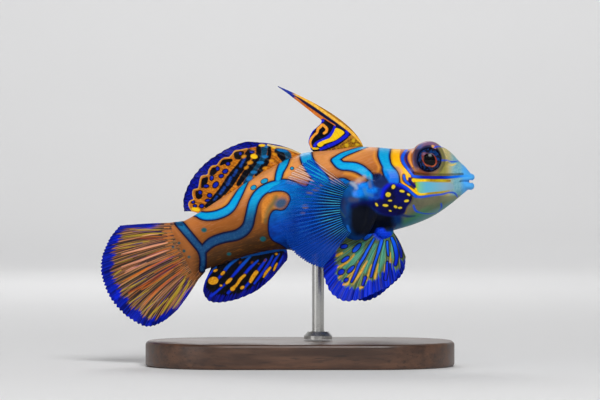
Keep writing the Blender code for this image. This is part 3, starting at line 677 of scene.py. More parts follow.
CREASE = even(
    0, (463, 173.9), (457, 174.3), (450, 174.5), (441, 174.6), (432, 174.6), (423, 174.4), (414, 173),
)
MOUTH = even(0, (476, 181.4), (470, 181.4), (464.5, 181.4), (461, 181.8))
TEAL_DOTS = [
    (204, 230, 3, 2.4), (263, 239, 3, 2.6), (229, 254, 2.3, 1.8), (173, 247, 1.6, 1.4),
    (179, 243, 1.6, 1.4), (184, 251, 1.7, 1.5), (189, 257, 1.6, 1.4),
]
SKIN_MARKS = {
    "under_eye": [
        ((412.6, 176, 1.2), (420, 176.9, 1.2), (435, 177.4, 1.2), (450, 177.2, 1.2), (460, 176.3, 1.3),
         (466, 175.8, 1.3), (470.5, 176.2, 0.9)),
        ((406.6, 149.6, 1.5), (403.2, 155, 1.6), (402.6, 160, 1.5), (405.2, 165.4, 1.5),
         (408.8, 170.2, 1.3), (412.8, 175.4, 1.2)),
        ((404, 175.6, 1), (404.4, 179, 1.1), (406.4, 182, 1.2), (409.6, 184.2, 1.2)),
        ((399.5, 184, 1.2), (407, 188.6, 1.3), (412, 193.2, 1.3), (416, 196.4, 1.2)),
    ],
    "navy_blobs": [
        ((409.6, 178.6, 1.5), (410.6, 182.2, 1.6), (414.6, 186.2, 1.3)),
        ((409.4, 150.4, 0.8), (406.4, 155.4, 1.2), (406.4, 160.4, 1.2), (408.9, 165.4, 1.1),
         (411.6, 169.6, 1), (414.4, 173.4, 0.8)),
    ],
    "face_lines": [
        ((415, 196.2, 1.2), (421, 197, 1.1), (432, 195.4, 1), (442, 194.3, 0.9), (449, 192.5, 0.9),
         (454.6, 193.2, 1), (457.6, 197.2, 0.6)),
        ((413.5, 205.5, 0.9), (415.6, 210.5, 1.2), (420.5, 212.8, 0.7), (428, 213.8, 0.8), (436, 213, 0.5)),
        ((441, 203.5, 0.8), (441.4, 207.5, 1.2), (438.5, 211.5, 0.7)),
        ((439, 160.4, 0.8), (447, 160.4, 0.9), (450.5, 161.8, 1), (459, 161, 0.5)),
        ((432.4, 149.2, 0.8), (436, 146.8, 0.9), (439, 146.4, 0.7), (442, 147, 1.1), (445, 147.6, 0.8)),
    ],
    "eye_rear": [((411.2, 151.4, 1), (409.4, 156, 1.2), (410.2, 161.6, 1.1), (412.4, 166.6, 0.8))],
    "brow": [((433, 146, 1.6), (434.6, 148.6, 1.4))],
    "snout_gold": [((448, 164.6, 0.7), (452, 165.2, 0.9), (456, 163.6, 0.6))],
    "cheek": [
        ((415.5, 183), (420, 181.8), (436, 182.4), (450, 183), (454, 187), (450, 190.4), (440, 191.6),
         (430, 192.8), (419, 193.2)),
    ],
    "cheek_yellow": [
        ((413.6, 180.2, 1.8), (418, 180.6, 1.1), (424, 180.5, 1), (431, 180.2, 1.1), (441, 180.6, 1.1),
         (450, 180.8, 0.8)),
        ((415.6, 189, 1), (416.8, 192.8, 1.4), (421, 194.3, 1), (430, 193.2, 0.8), (440, 192.2, 0.7),
         (449, 190.8, 0.5)),
    ],
    "yellow_zone": [
        ((391.5, 148), (400, 148), (399.3, 157), (401.5, 164), (406.5, 170), (411, 176), (409, 178.8),
         (406.8, 180.5), (405, 174), (402, 174), (402.5, 181), (410, 187), (416, 191), (415, 194),
         (407, 188.5), (400.5, 182), (399.5, 174), (393, 167), (391, 160)),
    ],
    "tan_spot": [(398, 170.5, 5, 3.4, 40)],
    "jaw_shade": [((402, 215, 1.4), (408, 216.4, 1.5), (414.6, 216, 0.7))],
    "jaw_olive": [((412.4, 198, 0.9), (409, 203.4, 1.2), (406.4, 208.4, 1.2), (405.6, 213, 0.9))],
    "gill_patch": [
        ((398.5, 183.6), (406.5, 189.5), (413, 196.6), (411.6, 202.4), (407.6, 207.6), (404.6, 213.6),
         (396, 216), (386, 216), (376, 211), (372, 205), (376, 200), (381, 196.5), (383, 189), (388, 184)),
    ],
    "gill_glow": [
        ((388.4, 185, 1.2), (384.6, 188.6, 1.5), (382.6, 193, 1.4), (382, 197.6, 1)),
        ((391, 183.4, 0.8), (397, 184.8, 0.9), (402, 186.6, 0.9), (407.4, 190, 0.7)),
    ],
    "gill_spots": [
        (393.4, 186.8, 2, 2.5, 20), (388.2, 194.6, 2.9, 2.6), (402, 191.2, 2.9, 1.5, 10),
        (408.6, 194.6, 2.3, 1.3, 35), (390, 200.6, 2.6, 1.1), (406.6, 200.9, 2.8, 1.5, -10),
        (376.6, 204.6, 2.6, 1.3, 55), (385.4, 205.4, 3.3, 1.5, 5), (395.5, 206.8, 2.2, 1.5, 25),
        (400, 207.8, 2.6, 1.2, -5), (390.2, 210.8, 1.9, 1, 20),
    ],
    "pelvic_root": [
        ((376, 229.5), (380, 227.6), (384, 228.6), (386, 231.6), (391, 232.6), (392, 237), (388, 241),
         (376, 237)),
    ],
    "dots": [(264.3, 181, 3.6, 2.2, -25), (253.5, 187.5, 2.9, 2.1, -30), (292, 168.3, 1.8, 1.4)],
    "teal_dots": TEAL_DOTS,
    "warm_edges": [
        ((340, 160, 0.9), (348, 157.5, 1), (358, 153, 1), (366, 149.8, 0.8)),
        ((375, 151, 1), (374.5, 158, 1.2), (379, 166, 1.2), (378, 172, 1)),
        ((345, 173, 1.6), (352, 174.5, 2), (360, 178, 1.6)),
        ((258, 178, 1), (251, 184, 1.2), (249, 190, 1)),
        ((257, 191, 1.4), (264, 187, 1.8), (272, 181, 1.8), (275, 176, 1.2)),
        ((205, 210, 1.2), (216, 209.5, 1.6), (225, 204, 1.6), (231, 194, 1.4), (236, 186, 1)),
        ((283, 180, 1.4), (288, 170, 1.6), (293, 160, 1.2)),
        ((262.6, 222, 0.5), (264, 212, 1.2), (268, 202, 1.6), (275, 195.5, 1.6), (284, 193.5, 1.2)),
    ],
    "hook": [
        ((262, 204), (266, 197.5), (271, 193.5), (277, 192.2), (284, 192.4), (289, 196), (289.4, 201),
         (286, 207), (280, 209.6), (274, 208.6), (270, 211), (266, 218), (262, 216)),
    ],
    "hook_olive": [
        ((276, 197.5, 2.2), (273.5, 203, 2.6), (269.5, 208.5, 2.2), (266.5, 215, 1.6), (265.5, 222, 1)),
    ],
    "flank_tan": [
        (316, 189.6, 3.4, 1.7, -5), (322, 184.2, 3.2, 1.5, -50), (325.8, 179.6, 2.2, 1.4, -20),
        (309.6, 192.8, 3.2, 1.5, 10), (305.2, 206.8, 3.2, 2, 5), (303, 213.4, 2.4, 1.2),
    ],
    "flank_teal": [
        (323.6, 195.4, 4.6, 2.6, -10), (321, 201.6, 4.6, 1.5, -5), (317.6, 218.4, 3, 2, 50),
        (322, 223, 3, 1.8, 50), (325, 227.6, 2.6, 1.6, 50), (308, 197, 3, 1.4),
    ],
    "lobe_bright": [
        ((353, 196), (352.6, 192), (356.6, 190), (357.4, 185.6), (361, 182.6), (365.6, 182.4),
         (368.4, 185), (369, 188.4), (375.6, 188), (376.4, 191.6), (371, 193.4), (366, 194.4),
         (362, 196.6), (357, 197.2)),
    ],
    "lobe_hollow": [
        ((373, 175), (380, 173.6), (386, 178), (389.4, 184), (386, 188.6), (378, 188), (373, 184)),
    ],
    # lobe_dark: nearly black below the fin's base, partly the fish's own dark blue and partly painted shade
    "lobe_dark": [
        ((350, 209), (356, 204.6), (364, 203), (372, 206), (380, 212), (391, 214), (394, 222), (393, 229),
         (384, 232), (372, 235), (358, 236), (351.6, 231), (349.6, 220)),
    ],
    # lobe_pale: a painted highlight on the top of the fin's base
    "lobe_pale": [((351, 182.8, 1.2), (355, 185.2, 1.8), (356.2, 188.4, 1))],
    "lobe_pink": [((364, 177.4, 2), (359.4, 180.2, 2.6), (355.6, 182.6, 1.6))],
    "lobe_grey": [((364.6, 189.4, 1.6), (366, 193.4, 1.8), (372, 195.6, 1.4))],
    "lobe_stem": [((369, 177.6, 1.3), (369.6, 182, 1.2), (370.4, 186.6, 1))],
    "lobe_navy": [((353, 206, 3), (362, 204.6, 3.6), (372, 203.4, 4), (380, 205, 4.4))],
    "lobe_arc": [
        ((348.6, 183.4, 0.8), (344.2, 188, 0.9), (340.6, 193.6, 1), (338.4, 200, 1.1), (338.6, 206.6, 1),
         (341.2, 212.6, 0.9), (345, 217, 0.5)),
    ],
    "lobe_rim": [
        ((341, 184, 1.8), (336.4, 189.6, 2.2), (334.2, 197, 2.4), (333.8, 205, 2.4), (335.6, 213.4, 2.2),
         (338.6, 221, 1.6)),
    ],
    "lobe_brown": [((351, 199.4, 2.2), (357, 199.2, 1.6))],
    "lobe_violet": [((343.2, 200.4, 1.6), (343.4, 207, 1.8), (345.4, 213.4, 1.4))],
    "lobe_glint": [((347.6, 226.4, 1.2), (349.2, 231.6, 1.6), (346.6, 236.4, 1.1))],
}
# Grooves: line, width and depth in mm. Pits of nostril and gill opening: place, width and depth in mm
GROOVES = ((CREASE, 0.17, 0.16), (MOUTH, 0.2, 0.55))
PITS = (((448.3, 163), 0.17, 0.35), ((375.5, 176), 0.45, 0.7))
PIT_RIM = 0.16
PIT_RIM_AT = 2.2
SOCKET_DEPTH = 1.1 * MM
SOCKET_EDGE = 0.35 * MM
# The colours of the pectoral fin's base: half length and half height in pixels, and how far out in mm
LOBE_SIZE = (16.5, 28)
LOBE_OUT = 5.6
# The body's drop towards the tail, the throat's upper rear corner, and how much higher the upper lid is
BODY_SLOPE = 0.34
THROAT = (387, 206)
UPPER_LID = 1.14


def lifter(obj):
    """A function that lifts places of the side view onto the skin of the right side."""
    tree = BVHTree.FromObject(obj, bpy.context.evaluated_depsgraph_get())
    eye = Vector((0, -CAMERA_DISTANCE, MIDDLE_HEIGHT))

    def lift(places):
        """Points as (x, y from the mid-plane, z) in mm."""
        found = []
        for target in map(Vector, side(places)):
            hit = tree.ray_cast(eye, (target - eye).normalized())[0]
            found.append(tuple(hit if hit is not None else tree.find_nearest(target)[0]))
        found = np.array(found)
        found[:, 1] = np.abs(found[:, 1] - sway(found[:, 0]))
        return found / MM

    return lift


def folded(points, lift):
    """A canvas on the skin, with its left side folded onto the right one."""
    flat = points.copy()
    flat[:, 1] = np.abs(flat[:, 1] - sway(flat[:, 0]))
    near = CAMERA_DISTANCE / (CAMERA_DISTANCE - flat[:, 1] + sway(points[:, 0]))
    return Canvas(seen(points, near), flat / MM, lift)


def press_in(obj, lift):
    """Presses in grooves, pits and the skin behind each eyeball. Gives the new points."""
    points = coordinates(obj)
    page = folded(points, lift)
    depth = np.zeros(len(points))
    for line, width, deep in GROOVES:
        depth += deep * np.exp(-((page.stroke(line) / width) ** 2))
    for place, width, deep in PITS:
        gap = np.linalg.norm(page.points - lift([place]), axis=1)
        rim = PIT_RIM * np.exp(-(((gap - PIT_RIM_AT * width) / width) ** 2))
        depth += deep * np.exp(-((gap / width) ** 2)) - rim
    points -= normals(obj) * depth[:, None] * MM
    for hand in HANDS.values():
        centre = side(EYE_PLACE, hand * EYE_OUT)
        reach = np.hypot(points[:, 0] - centre[0], points[:, 2] - centre[2])
        outer = -hand * (points[:, 1] - centre[1]) > 0
        sunk = np.clip((LID_OPENING - reach) / SOCKET_EDGE, 0, 1) * outer
        points[:, 1] += hand * sunk * SOCKET_DEPTH
    put(obj, points)
    return points


def lobe_share(points):
    """1 on the fleshy bases of the pectoral fins, 0 off them, going by how far they stand out."""
    offset = points - side(PECTORAL_BASE)
    reach = np.hypot(offset[:, 0] / (LOBE_SIZE[0] * PIXEL), offset[:, 2] / (LOBE_SIZE[1] * PIXEL))
    out = np.abs(points[:, 1] - sway(points[:, 0])) / MM
    edge, crispness, rise = 1.04, 8, 1.2
    return np.clip((edge - reach) * crispness, 0, 1) * np.clip((out - LOBE_OUT) * rise, 0, 1)


def measure_skin(obj, points, lift):
    """Keeps each skin point's distances to the marks, and its place."""
    page = folded(points, lift)
    right, down = page.places.T
    band, tone, weight = page.blank(), 0, 1e-6
    for line, cyan in BANDS:
        gap = page.stroke(line)
        band = np.minimum(band, gap)
        near = np.exp(-np.clip(gap + 0.2, 0, 3) * 6)
        tone, weight = tone + cyan * near, weight + near
    flank = page.patch(FLANK)
    # where a band runs into the flank it fades out, and both share one dark edge, which the throat lacks
    throat = (right > THROAT[0]) & (down > THROAT[1])
    keep(obj, "blue", np.where(throat, REACH, np.minimum(band, flank)))
    keep(obj, "band", band + REACH * np.clip((-flank - 0.2) / 1.4, 0, 1))
    keep(obj, "flank", flank)
    keep(obj, "cyan", tone / weight)
    for name, shapes in SKIN_MARKS.items():
        keep(obj, name, page.marks(shapes))
    keep(obj, "hook_core", page.marks([HOOK_CORE], HOOK_REACH))
    keep(obj, "face", page.patch(FACE_EDGE, FACE_REACH))
    keep(obj, "crease", page.stroke(CREASE))
    keep(obj, "mouth", page.stroke(MOUTH))
    keep(obj, "lobe", lobe_share(points))
    keep(obj, "right", right)
    keep(obj, "down", down)
    offset = points - side(EYE_PLACE)
    rise = np.where(offset[:, 2] > 0, offset[:, 2] / UPPER_LID, offset[:, 2])
    keep(obj, "from_eye", np.hypot(offset[:, 0], rise) / MM)


def orange_ground(paint):
    """Pale orange on the back to dark brown below, the brown partly the fish's own and partly painted shade.
    Also gives the streaks and how low each place is.
    """
    right, down = paint.attribute("right"), paint.attribute("down")
    along = paint.math("MULTIPLY_ADD", down, -BODY_SLOPE, right)
    low = paint.math("MULTIPLY_ADD", right, BODY_SLOPE, down)
    brushed = paint.streaks(paint.times(along, 0.1), paint.times(low, 0.7), 0.9)
    broad = paint.noise(BROAD)
    wavy = paint.math("ADD", low, paint.times(broad, 8))
    ground = paint.over(
        paint.mottle(broad, (214, 140, 74), (232, 154, 90)),
        # the darkening towards the belly is partly painted shade
        (wavy, 274, 297, (180, 104, 46)),
        (wavy, 291, 311, (140, 80, 30)),
        (wavy, 312, 334, (70, 46, 26)),
        (brushed, 0.5, 0.72, paint.step(low, 290, 310, (212, 150, 116), (176, 104, 40)), 0, 0.28),
        (brushed, 0.5, 0.3, paint.step(low, 290, 320, (176, 96, 40), (70, 48, 28)), 0, 0.22),
        (right, 202, 188, (190, 116, 62), 0, 0.5),
    )
    return ground, brushed, low


def paint_face(paint, fine, broad, right, down):
    """Khaki and grey-green, bluer towards the lips and the chin, with a yellow cheek."""
    chin = paint.math("MULTIPLY_ADD", right, 0.47, down)
    strand = paint.noise(0.5 * MM, stretch=(1.6, 1, 0.3))
    brow = paint.times(paint.ramp(down, 160, 156), paint.ramp(right, 452, 444))
    below_eye = paint.times(paint.ramp(down, 160, 164), paint.ramp(right, 450, 444))
    jaw = paint.mottle(broad, (92, 92, 76), (112, 110, 86))
    green = paint.times(paint.ramp(chin, 404, 412, 0, 0.85), paint.ramp(right, 438, 418, 0.25, 1))
    # the jaw's rear is dark blue where the throat's painted shade reaches, partly the skin's own blue, and
    # tealer lower down
    rear = paint.times(paint.ramp(right, 406, 399), paint.ramp(down, 209, 215))
    face = paint.over(
        paint.mottle(broad, (176, 162, 98), (200, 184, 126), 0.15),
        (right, 446, 456, paint.mottle(fine, (98, 160, 180), (136, 184, 192))),
        (brow, paint.step(strand, 0.35, 0.62, (228, 200, 134), (166, 166, 118))),
        (below_eye, paint.mottle(broad, (126, 124, 58), (160, 150, 82), 0.15)),
        (down, 194, 197, paint.step(right, 438, 452, jaw, (142, 142, 112))),
        (green, (58, 134, 96)),
        (chin, 411, 416.5, paint.step(right, 402, 430, (8, 122, 138), (92, 140, 140)), 0, 0.9),
        (rear, paint.step(down, 220, 228, (2, 46, 112), (2, 92, 138))),
        (right, 458.5, 465.5, (78, 170, 242)),
    )
    cheek = paint.over(
        paint.step(right, 415.5, 421, (146, 190, 46), (112, 186, 160)),
        (right, 419, 427, (92, 172, 200)),
        (right, 426, 452, (136, 168, 186)),
    )
    old_gold = paint.mottle(broad, (150, 104, 4), (186, 164, 24), 0.15)
    yellow = paint.step(right, 424, 429, paint.mottle(fine, (228, 176, 8), (248, 210, 20)), old_gold)
    paint.lay((paint.attribute("face"), -0.3, 0.4, face, 1, 0))
    paint.layers(
        ("jaw_shade", (14, 40, 110), 0, 0.3, 0.9),
        ("jaw_olive", (146, 124, 28), 0, 0.12, 0.95),
        ("cheek", cheek, 0, 0.14),
        ("snout_gold", (228, 200, 92), 0, 0.12, 0.9),
        ("yellow_zone", paint.mottle(broad, (246, 172, 8), (252, 196, 16)), 0, 0.1),
        ("tan_spot", (206, 140, 104), 0, 0.35, 0.85),
        ("cheek_yellow", yellow, 0.02, 0.1),
    )


def paint_lids(paint, broad, right, down):
    """The orbit's skin: lavender above, violet-brown behind the eye, orange-brown below."""
    from_eye = paint.attribute("from_eye")
    lids = paint.over(
        paint.step(right, 419, 425, (82, 96, 160), (126, 92, 128)),
        (down, 147, 150.5, (64, 46, 70)),
        (right, 415.5, 413, (112, 94, 124), 0, 0.8),
        (down, 165.5, 170.5, paint.step(right, 427, 434, (122, 62, 34), (158, 120, 78))),
        (right, 436.5, 440.5, (122, 116, 70)),
    )
    paint.lay(
        (from_eye, 2.85, 3.1, lids, 1, 0),
        (from_eye, 2.15, 2.5, paint.mottle(broad, (16, 14, 34), (14, 36, 78), 0.1), 0.95, 0),
    )
    paint.layer("brow", (236, 170, 92), 0, 0.15, 0.9)


def paint_flank(paint, fine, broad, right, down, brushed):
    """The blue flank, azure above, deeper towards the belly and the fin's base, with its hook of orange."""
    sink = paint.math("MULTIPLY_ADD", right, 0.35, down)
    deep = paint.over(
        paint.mottle(broad, (0, 114, 206), (2, 146, 232)),
        (sink, 296, 326, paint.mottle(broad, (2, 54, 150), (6, 78, 194), 0.15)),
        (sink, 338, 356, (6, 56, 118)),
        (brushed, 0.35, 0.65, (0, 22, 96), 0, 0.35),
    )
    paint.layers(
        ("hook", paint.mottle(fine, (204, 122, 40), (222, 142, 56)), 0, 0.2),
        ("hook_olive", (104, 100, 62), 0, 0.5, 0.85),
        ("hook_core", (44, 88, 120), 0.1, 0.5, 0.95),
        ("blue", (84, 46, 22), 0.5, 0.3, 0.45),
        ("blue", NAVY_EDGE, 0.24, 0.09),
        ("flank", deep, 0, 0.12),
        ("flank_teal", (10, 112, 132), 0, 0.3, 0.8),
        ("flank_tan", (164, 136, 112), 0, 0.25, 0.8),
        ("eye_rear", (226, 142, 62), 0, 0.12),
    )


def paint_bands(paint, fine, broad, right, down, brushed, low):
    """Bands of cyan to slate blue, the stripe under the eye, and dots."""
    behind = paint.times(paint.ramp(low, 282, 308), paint.ramp(right, 330, 300))
    cyan = paint.times(paint.attribute("cyan"), paint.math("SUBTRACT", 1, behind))
    azure = paint.times(paint.ramp(down, 166, 176), paint.ramp(right, 376, 383))
    core = paint.over(
        paint.mix(cyan, (24, 72, 118), (0, 168, 224)),
        (brushed, 0.4, 0.7, paint.mix(cyan, (10, 54, 112), (0, 128, 200)), 0, 0.5),
        (fine, 0.45, 0.75, paint.mix(cyan, (62, 116, 158), (40, 196, 232)), 0, 0.3),
        (azure, paint.mottle(broad, (0, 106, 222), (0, 140, 244), 0.15)),
    )
    paint.layer("band", paint.mix(cyan, (8, 38, 82), (0, 96, 180)), 0, 0.06)
    paint.layer("band", core, -0.18, 0.16)
    stripe_edge = paint.ramp(paint.uneven("under_eye", 0.04), 0.02, 0.16, 1, 0)
    behind_lips = paint.math("SUBTRACT", 1, paint.ramp(right, 446, 458))
    paint.lay((paint.times(stripe_edge, behind_lips), (4, 6, 60)))
    stripe = paint.over(
        paint.step(right, 414, 424, (14, 84, 226), (4, 16, 168)),
        (right, 440, 456, (6, 100, 232)),
        (right, 456, 466, (60, 160, 244)),
    )
    paint.layers(
        ("under_eye", stripe, 0, 0.08),
        ("navy_blobs", (2, 6, 104), 0.02, 0.12, 0.95),
        ("face_lines", (20, 76, 212), 0, 0.13, 0.92),
        ("dots", NAVY_EDGE, 0.12, 0.06),
        ("dots", (26, 150, 196), -0.02, 0.08),
        ("teal_dots", (24, 90, 96), 0, 0.18),
    )


def paint_lobe(paint, fine, broad, down):
    """The fleshy base of the pectoral fin, with a painted highlight and glint on it and painted shade below
    it.
    """
    upper = paint.mottle(broad, (2, 46, 104), (6, 84, 156))
    flesh = paint.step(down, 196, 204, upper, paint.mottle(broad, (4, 40, 92), (2, 64, 128)))
    paint.lay((paint.attribute("lobe"), 0.1, 0.9, flesh))
    for name, colour, soft, strength in (
        ("rim", (2, 100, 190), 0.5, 0.85),
        ("hollow", (22, 36, 82), 0.35, 0.95),
        ("navy", (2, 10, 92), 0.5, 0.95),
        # the nearly black coat is partly painted shade under the fin's base
        ("dark", (1, 4, 16), 0.8, 0.98),
        ("brown", (70, 68, 86), 0.5, 0.8),
        ("violet", (34, 44, 84), 0.5, 0.75),
        ("arc", (50, 80, 84), 0.22, 0.75),
        ("bright", paint.step(fine, 0.3, 0.75, (0, 112, 226), (8, 142, 240)), 0.4, 0.92),
        ("grey", (60, 124, 176), 0.4, 0.75),
        ("pink", (190, 146, 122), 0.4, 0.8),
        ("stem", (104, 104, 100), 0.4, 0.7),
        # the pale coat is a painted highlight
        ("pale", (158, 172, 192), 0.35, 0.85),
        ("glint", (14, 104, 206), 0.2, 0.95),
    ):
        paint.layer("lobe_" + name, colour, 0, soft, strength, 0.2)


def paint_skin(obj):
    """Coats from the orange ground up to the spots on the gill cover."""
    paint = Paint("mandarinfish skin", roughness=0.44, coat=0.07, coat_roughness=0.12, specular=0.07)
    fine, broad = paint.noise(FINE, 4), paint.noise(BROAD)
    right, down = paint.attribute("right"), paint.attribute("down")
    paint.top, brushed, low = orange_ground(paint)
    paint.layer("warm_edges", (240, 158, 52), 0, 0.35, 0.65, 0.1)
    # Dark navy over the throat behind the gill cover: partly the fish's own dark blue, partly painted shade
    # under the pectoral fin's base
    throat = paint.times(paint.ramp(right, 372, 384), paint.ramp(down, 198, 206))
    paint.lay((throat, (2, 20, 60)))
    paint_face(paint, fine, broad, right, down)
    paint_lids(paint, broad, right, down)
    paint_flank(paint, fine, broad, right, down, brushed)
    paint_bands(paint, fine, broad, right, down, brushed, low)
    paint_lobe(paint, fine, broad, down)
    paint.layers(
        ("gill_patch", paint.mottle(broad, (0, 0, 44), (0, 4, 88), 0.15), -0.05, 0.3),
        ("gill_glow", (2, 22, 226), 0, 0.4, 0.9),
        ("pelvic_root", paint.mottle(fine, (2, 40, 206), (10, 76, 244)), 0, 0.3),
        ("gill_spots", (10, 12, 30), 0.1, 0.08),
        ("gill_spots", paint.mottle(fine, (206, 178, 30), (240, 208, 60)), -0.04, 0.1),
        ("crease", (14, 12, 20), 0.2, 0.12, 0.85, 0),
        ("mouth", (10, 24, 60), 0.12, 0.12, 0.9, 0),
    )
    paint.bump(0.05 * MM, (fine, 0.25), (paint.noise(0.16 * MM, 2), 0.25))
    paint.finish(obj)


def body():
    """One skin over head, torso, trunk and tail stalk."""
    obj = fused(skin_shells(), SKIN_GRAIN, SKIN_EASING)
    lift = lifter(obj)
    measure_skin(obj, press_in(obj, lift), lift)
    paint_skin(obj)
    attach(obj, "root")
    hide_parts("head", "torso", "trunk_rear", "tail_stalk")


# Eyes

PUPIL = (
    (424, 155.6), (426.6, 154.4), (430, 154.8), (432.4, 157), (433.6, 160.6), (433.2, 163.8), (431, 165.6),
    (427.4, 164.8), (424.2, 163.6), (423, 160.6), (423, 157.6),
)
IRIS = (
    (420.6, 153.2), (423.4, 152.2), (426.4, 153.4), (430.4, 153.6), (433, 155.4), (435.4, 159.2),
    (435.8, 163.2), (433.8, 166.6), (430.6, 167.6), (427, 167), (423.8, 165.6), (421.6, 162.2),
    (420.2, 158.6), (420.2, 155.6),
)


def eyeball(hand, word):
    """One eye: a ball with an orange-red ring round a black pupil."""
    lump = Lump()
    outward = sphere(rings=96, around=128, gap=0.0005)[..., (0, 2, 1)] * (1, -hand, 1)
    lump.tube(outward * EYE_RADIUS + side(EYE_PLACE, hand * EYE_OUT))
    points = np.concatenate(lump.points)
    obj = make("eyeball_" + word, points, [f[::hand] for f in map(tuple, lump.faces)])
    front = -hand * (points[:, 1] + hand * EYE_OUT) > 0
    places = seen(points)
    page = Canvas(places)
    keep(obj, "pupil", np.where(front, page.patch(PUPIL), REACH))
    keep(obj, "iris", np.where(front, page.patch(IRIS), REACH))
    keep(obj, "rim", np.where(front, np.linalg.norm(places - EYE_PLACE, axis=1) * PIXEL / MM, WIDE_REACH))
    keep(obj, "down", places[:, 1])

    paint = Paint("eye " + word, roughness=0.25, coat=0.25, coat_roughness=0.02, specular=0.05)
    cloud, down = paint.noise(0.5 * MM, 4), paint.attribute("down")
    paint.top = paint.step(cloud, 0.42, 0.62, (12, 10, 28), (8, 52, 112))
    paint.lay((paint.attribute("rim"), 1.8, 2.2, (24, 16, 34), 0, 0.7))
    ring = paint.over(
        paint.step(down, 154.6, 157.4, (126, 92, 118), (156, 54, 32)),
        (down, 162.6, 164.8, (198, 96, 60)),
        (cloud, 0.42, 0.6, (84, 30, 26), 0, 0.7),
    )
    paint.layers(("iris", ring, -0.05, 0.1, 1, 0.08), ("pupil", (2, 2, 6), 0.1, 0.07, 1, 0.03))
    paint.finish(obj)
    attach(obj, "root")
    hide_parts("eye_" + word)


# Fins


def pectoral_rays():
    """Rows of root, middle and tip, fanned round the fin's fleshy base."""
    rows = []
    for i in range(PECTORAL_RAYS):
        share = i / (PECTORAL_RAYS - 1)
        at_root = PECTORAL_ROOT_ANGLES[0] + (PECTORAL_ROOT_ANGLES[1] - PECTORAL_ROOT_ANGLES[0]) * share
        at_tip = PECTORAL_TIP_ANGLES[0] + (PECTORAL_TIP_ANGLES[1] - PECTORAL_TIP_ANGLES[0]) * share
        reach = PECTORAL_REACH[0] + PECTORAL_REACH[1] * math.sin(math.pi * share)
        root = (
            PECTORAL_BASE[0] - PECTORAL_BASE_RIM[0] * PECTORAL_ROOT_SHARE * math.sin(at_root),
            PECTORAL_BASE[1] - PECTORAL_BASE_RIM[1] * PECTORAL_ROOT_SHARE * math.cos(at_root),
        )
        tip = (PECTORAL_BASE[0] - reach * math.sin(at_tip), PECTORAL_BASE[1] - reach * math.cos(at_tip))
        rows.append((*root, (root[0] + tip[0]) / 2, (root[1] + tip[1]) / 2, *tip))
    return rows


def median(s, r):
    """Fins on the mid-plane don't stand out."""
    return 0.0 * s


def spread(outs, hand, cup, last):
    """How far a paired fin stands out, from root to tip and cupped across its rays."""
    return lambda s, r: hand * (bent(*outs, r) + cup * r * np.sin(math.pi * s / last))


def forward(places):
    """Places turned forward round the pelvic fin's root, and so foreshortened."""
    x, y = ((places - np.array(PELVIC_BASE)) * PELVIC_FORESHORTEN).T
    c, s = math.cos(PELVIC_FORWARD), math.sin(PELVIC_FORWARD)
    return np.array(PELVIC_BASE) + np.stack([x * c + y * s, -x * s + y * c], -1)


def crest(s, r, per, splits, width):
    """Height of the rays' ridges, from 0 to 1: each ray splits in two at every share in splits."""
    off_ray = s * per - np.round(s * per)
    height = np.clip(1 - np.abs(off_ray) / width, 0, 1) * np.clip(0.98 - r * 0.3, 0, 1)
    for at, offset in splits:
        part = np.clip((r - at) / 0.25, 0, 1)
        twin = np.minimum(np.abs(off_ray - offset * part), np.abs(off_ray + offset * part))
        height = height * (1 - part) + np.clip(1 - twin / (width * 0.75), 0, 1) * part
    return height


class Fin:
    """A fine fin: a membrane with ridged, branching rays, closed all round, on the same rays as its solid.

    s counts the rays, and r is the share of the way from root to tip. The grid is how many points lie across
    and along the rays, and there are per rays to each row.
    """

    def __init__(self, name, rows, outs, grid, marks, per=1, splits=(), width=0.16, scallop=0.014, wave=0,
                 root=0, membrane=MEMBRANE, ridge=RIDGE, turn=None):
        s, r = np.meshgrid(np.linspace(0, len(rows) - 1, grid[0]), np.linspace(0, 1, grid[1]), indexing="ij")
        s, r = s.reshape(-1), r.reshape(-1)
        height = crest(s, r, per, splits, width)
        # the membrane draws in a little between rays at the margin, unevenly
        ray_end = 0.5 + 0.5 * np.cos(math.tau * s * per * (2 if splits else 1))
        ragged = 1 + 0.4 * np.sin(s * 7.3) * np.sin(s * 2.9 + 1)
        reach = r * (1 - scallop * ragged * (1 - ray_end) * r)
        first, middle, tip = np.split(blend(rows, s), 3, axis=1)
        self.places = bent(first, middle, tip, reach[:, None])
        out = outs(s, r) + wave * r * r * np.sin(2.6 * s)
        points = side(turn(self.places) if turn else self.places, out)
        points[:, 1] += sway(points[:, 0])
        foot = root * np.maximum(0, 1 - r / FOOT_SHARE) ** 2
        thick = membrane * (1 - 0.45 * r) + ridge * height * (1 - 0.5 * r) + foot
        self.obj = closed_sheet(name, points.reshape(*grid, 3), thick)
        self.page = Canvas(self.places)
        self.keep("ray", height)
        self.keep("margin", (1 - r) * np.linalg.norm(tip - first, axis=1) * PIXEL / MM)
        self.keep("share", r)
        self.keep("count", s)
        for mark, shapes in marks.items():
            self.keep(mark, self.page.marks(shapes, WIDE_REACH if mark == "inner" else REACH))

    def keep(self, name, values):
        """Keeps values on both faces of the fin."""
        keep(self.obj, name, np.concatenate([values, values]))


def fin_paint(name):
    """The satin gloss that all fins share."""
    return Paint(name, roughness=0.5, coat=0.04, coat_roughness=0.25, specular=0.06)


def fan(paint, across, along):
    """Streaks that run out along the rays, from 0 to 1."""
    count, share = paint.attribute("count"), paint.attribute("share")
    return paint.streaks(paint.times(count, across), paint.times(share, along))


def feathered(paint, name, streak, reach):
    """A measure whose edge runs in and out along the rays by up to reach mm."""
    return paint.math("ADD", paint.attribute(name), paint.math("MULTIPLY_ADD", streak, 2 * reach, -reach))


def settle(fin, paint, node, relief=0.5):
    """Gives a fin its relief and its place in the frame."""
    paint.bump(0.08 * MM, (paint.noise(0.3 * MM), 0.2), (paint.attribute("ray"), relief))
    paint.finish(fin.obj)
    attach(fin.obj, "root")
    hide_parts(node)


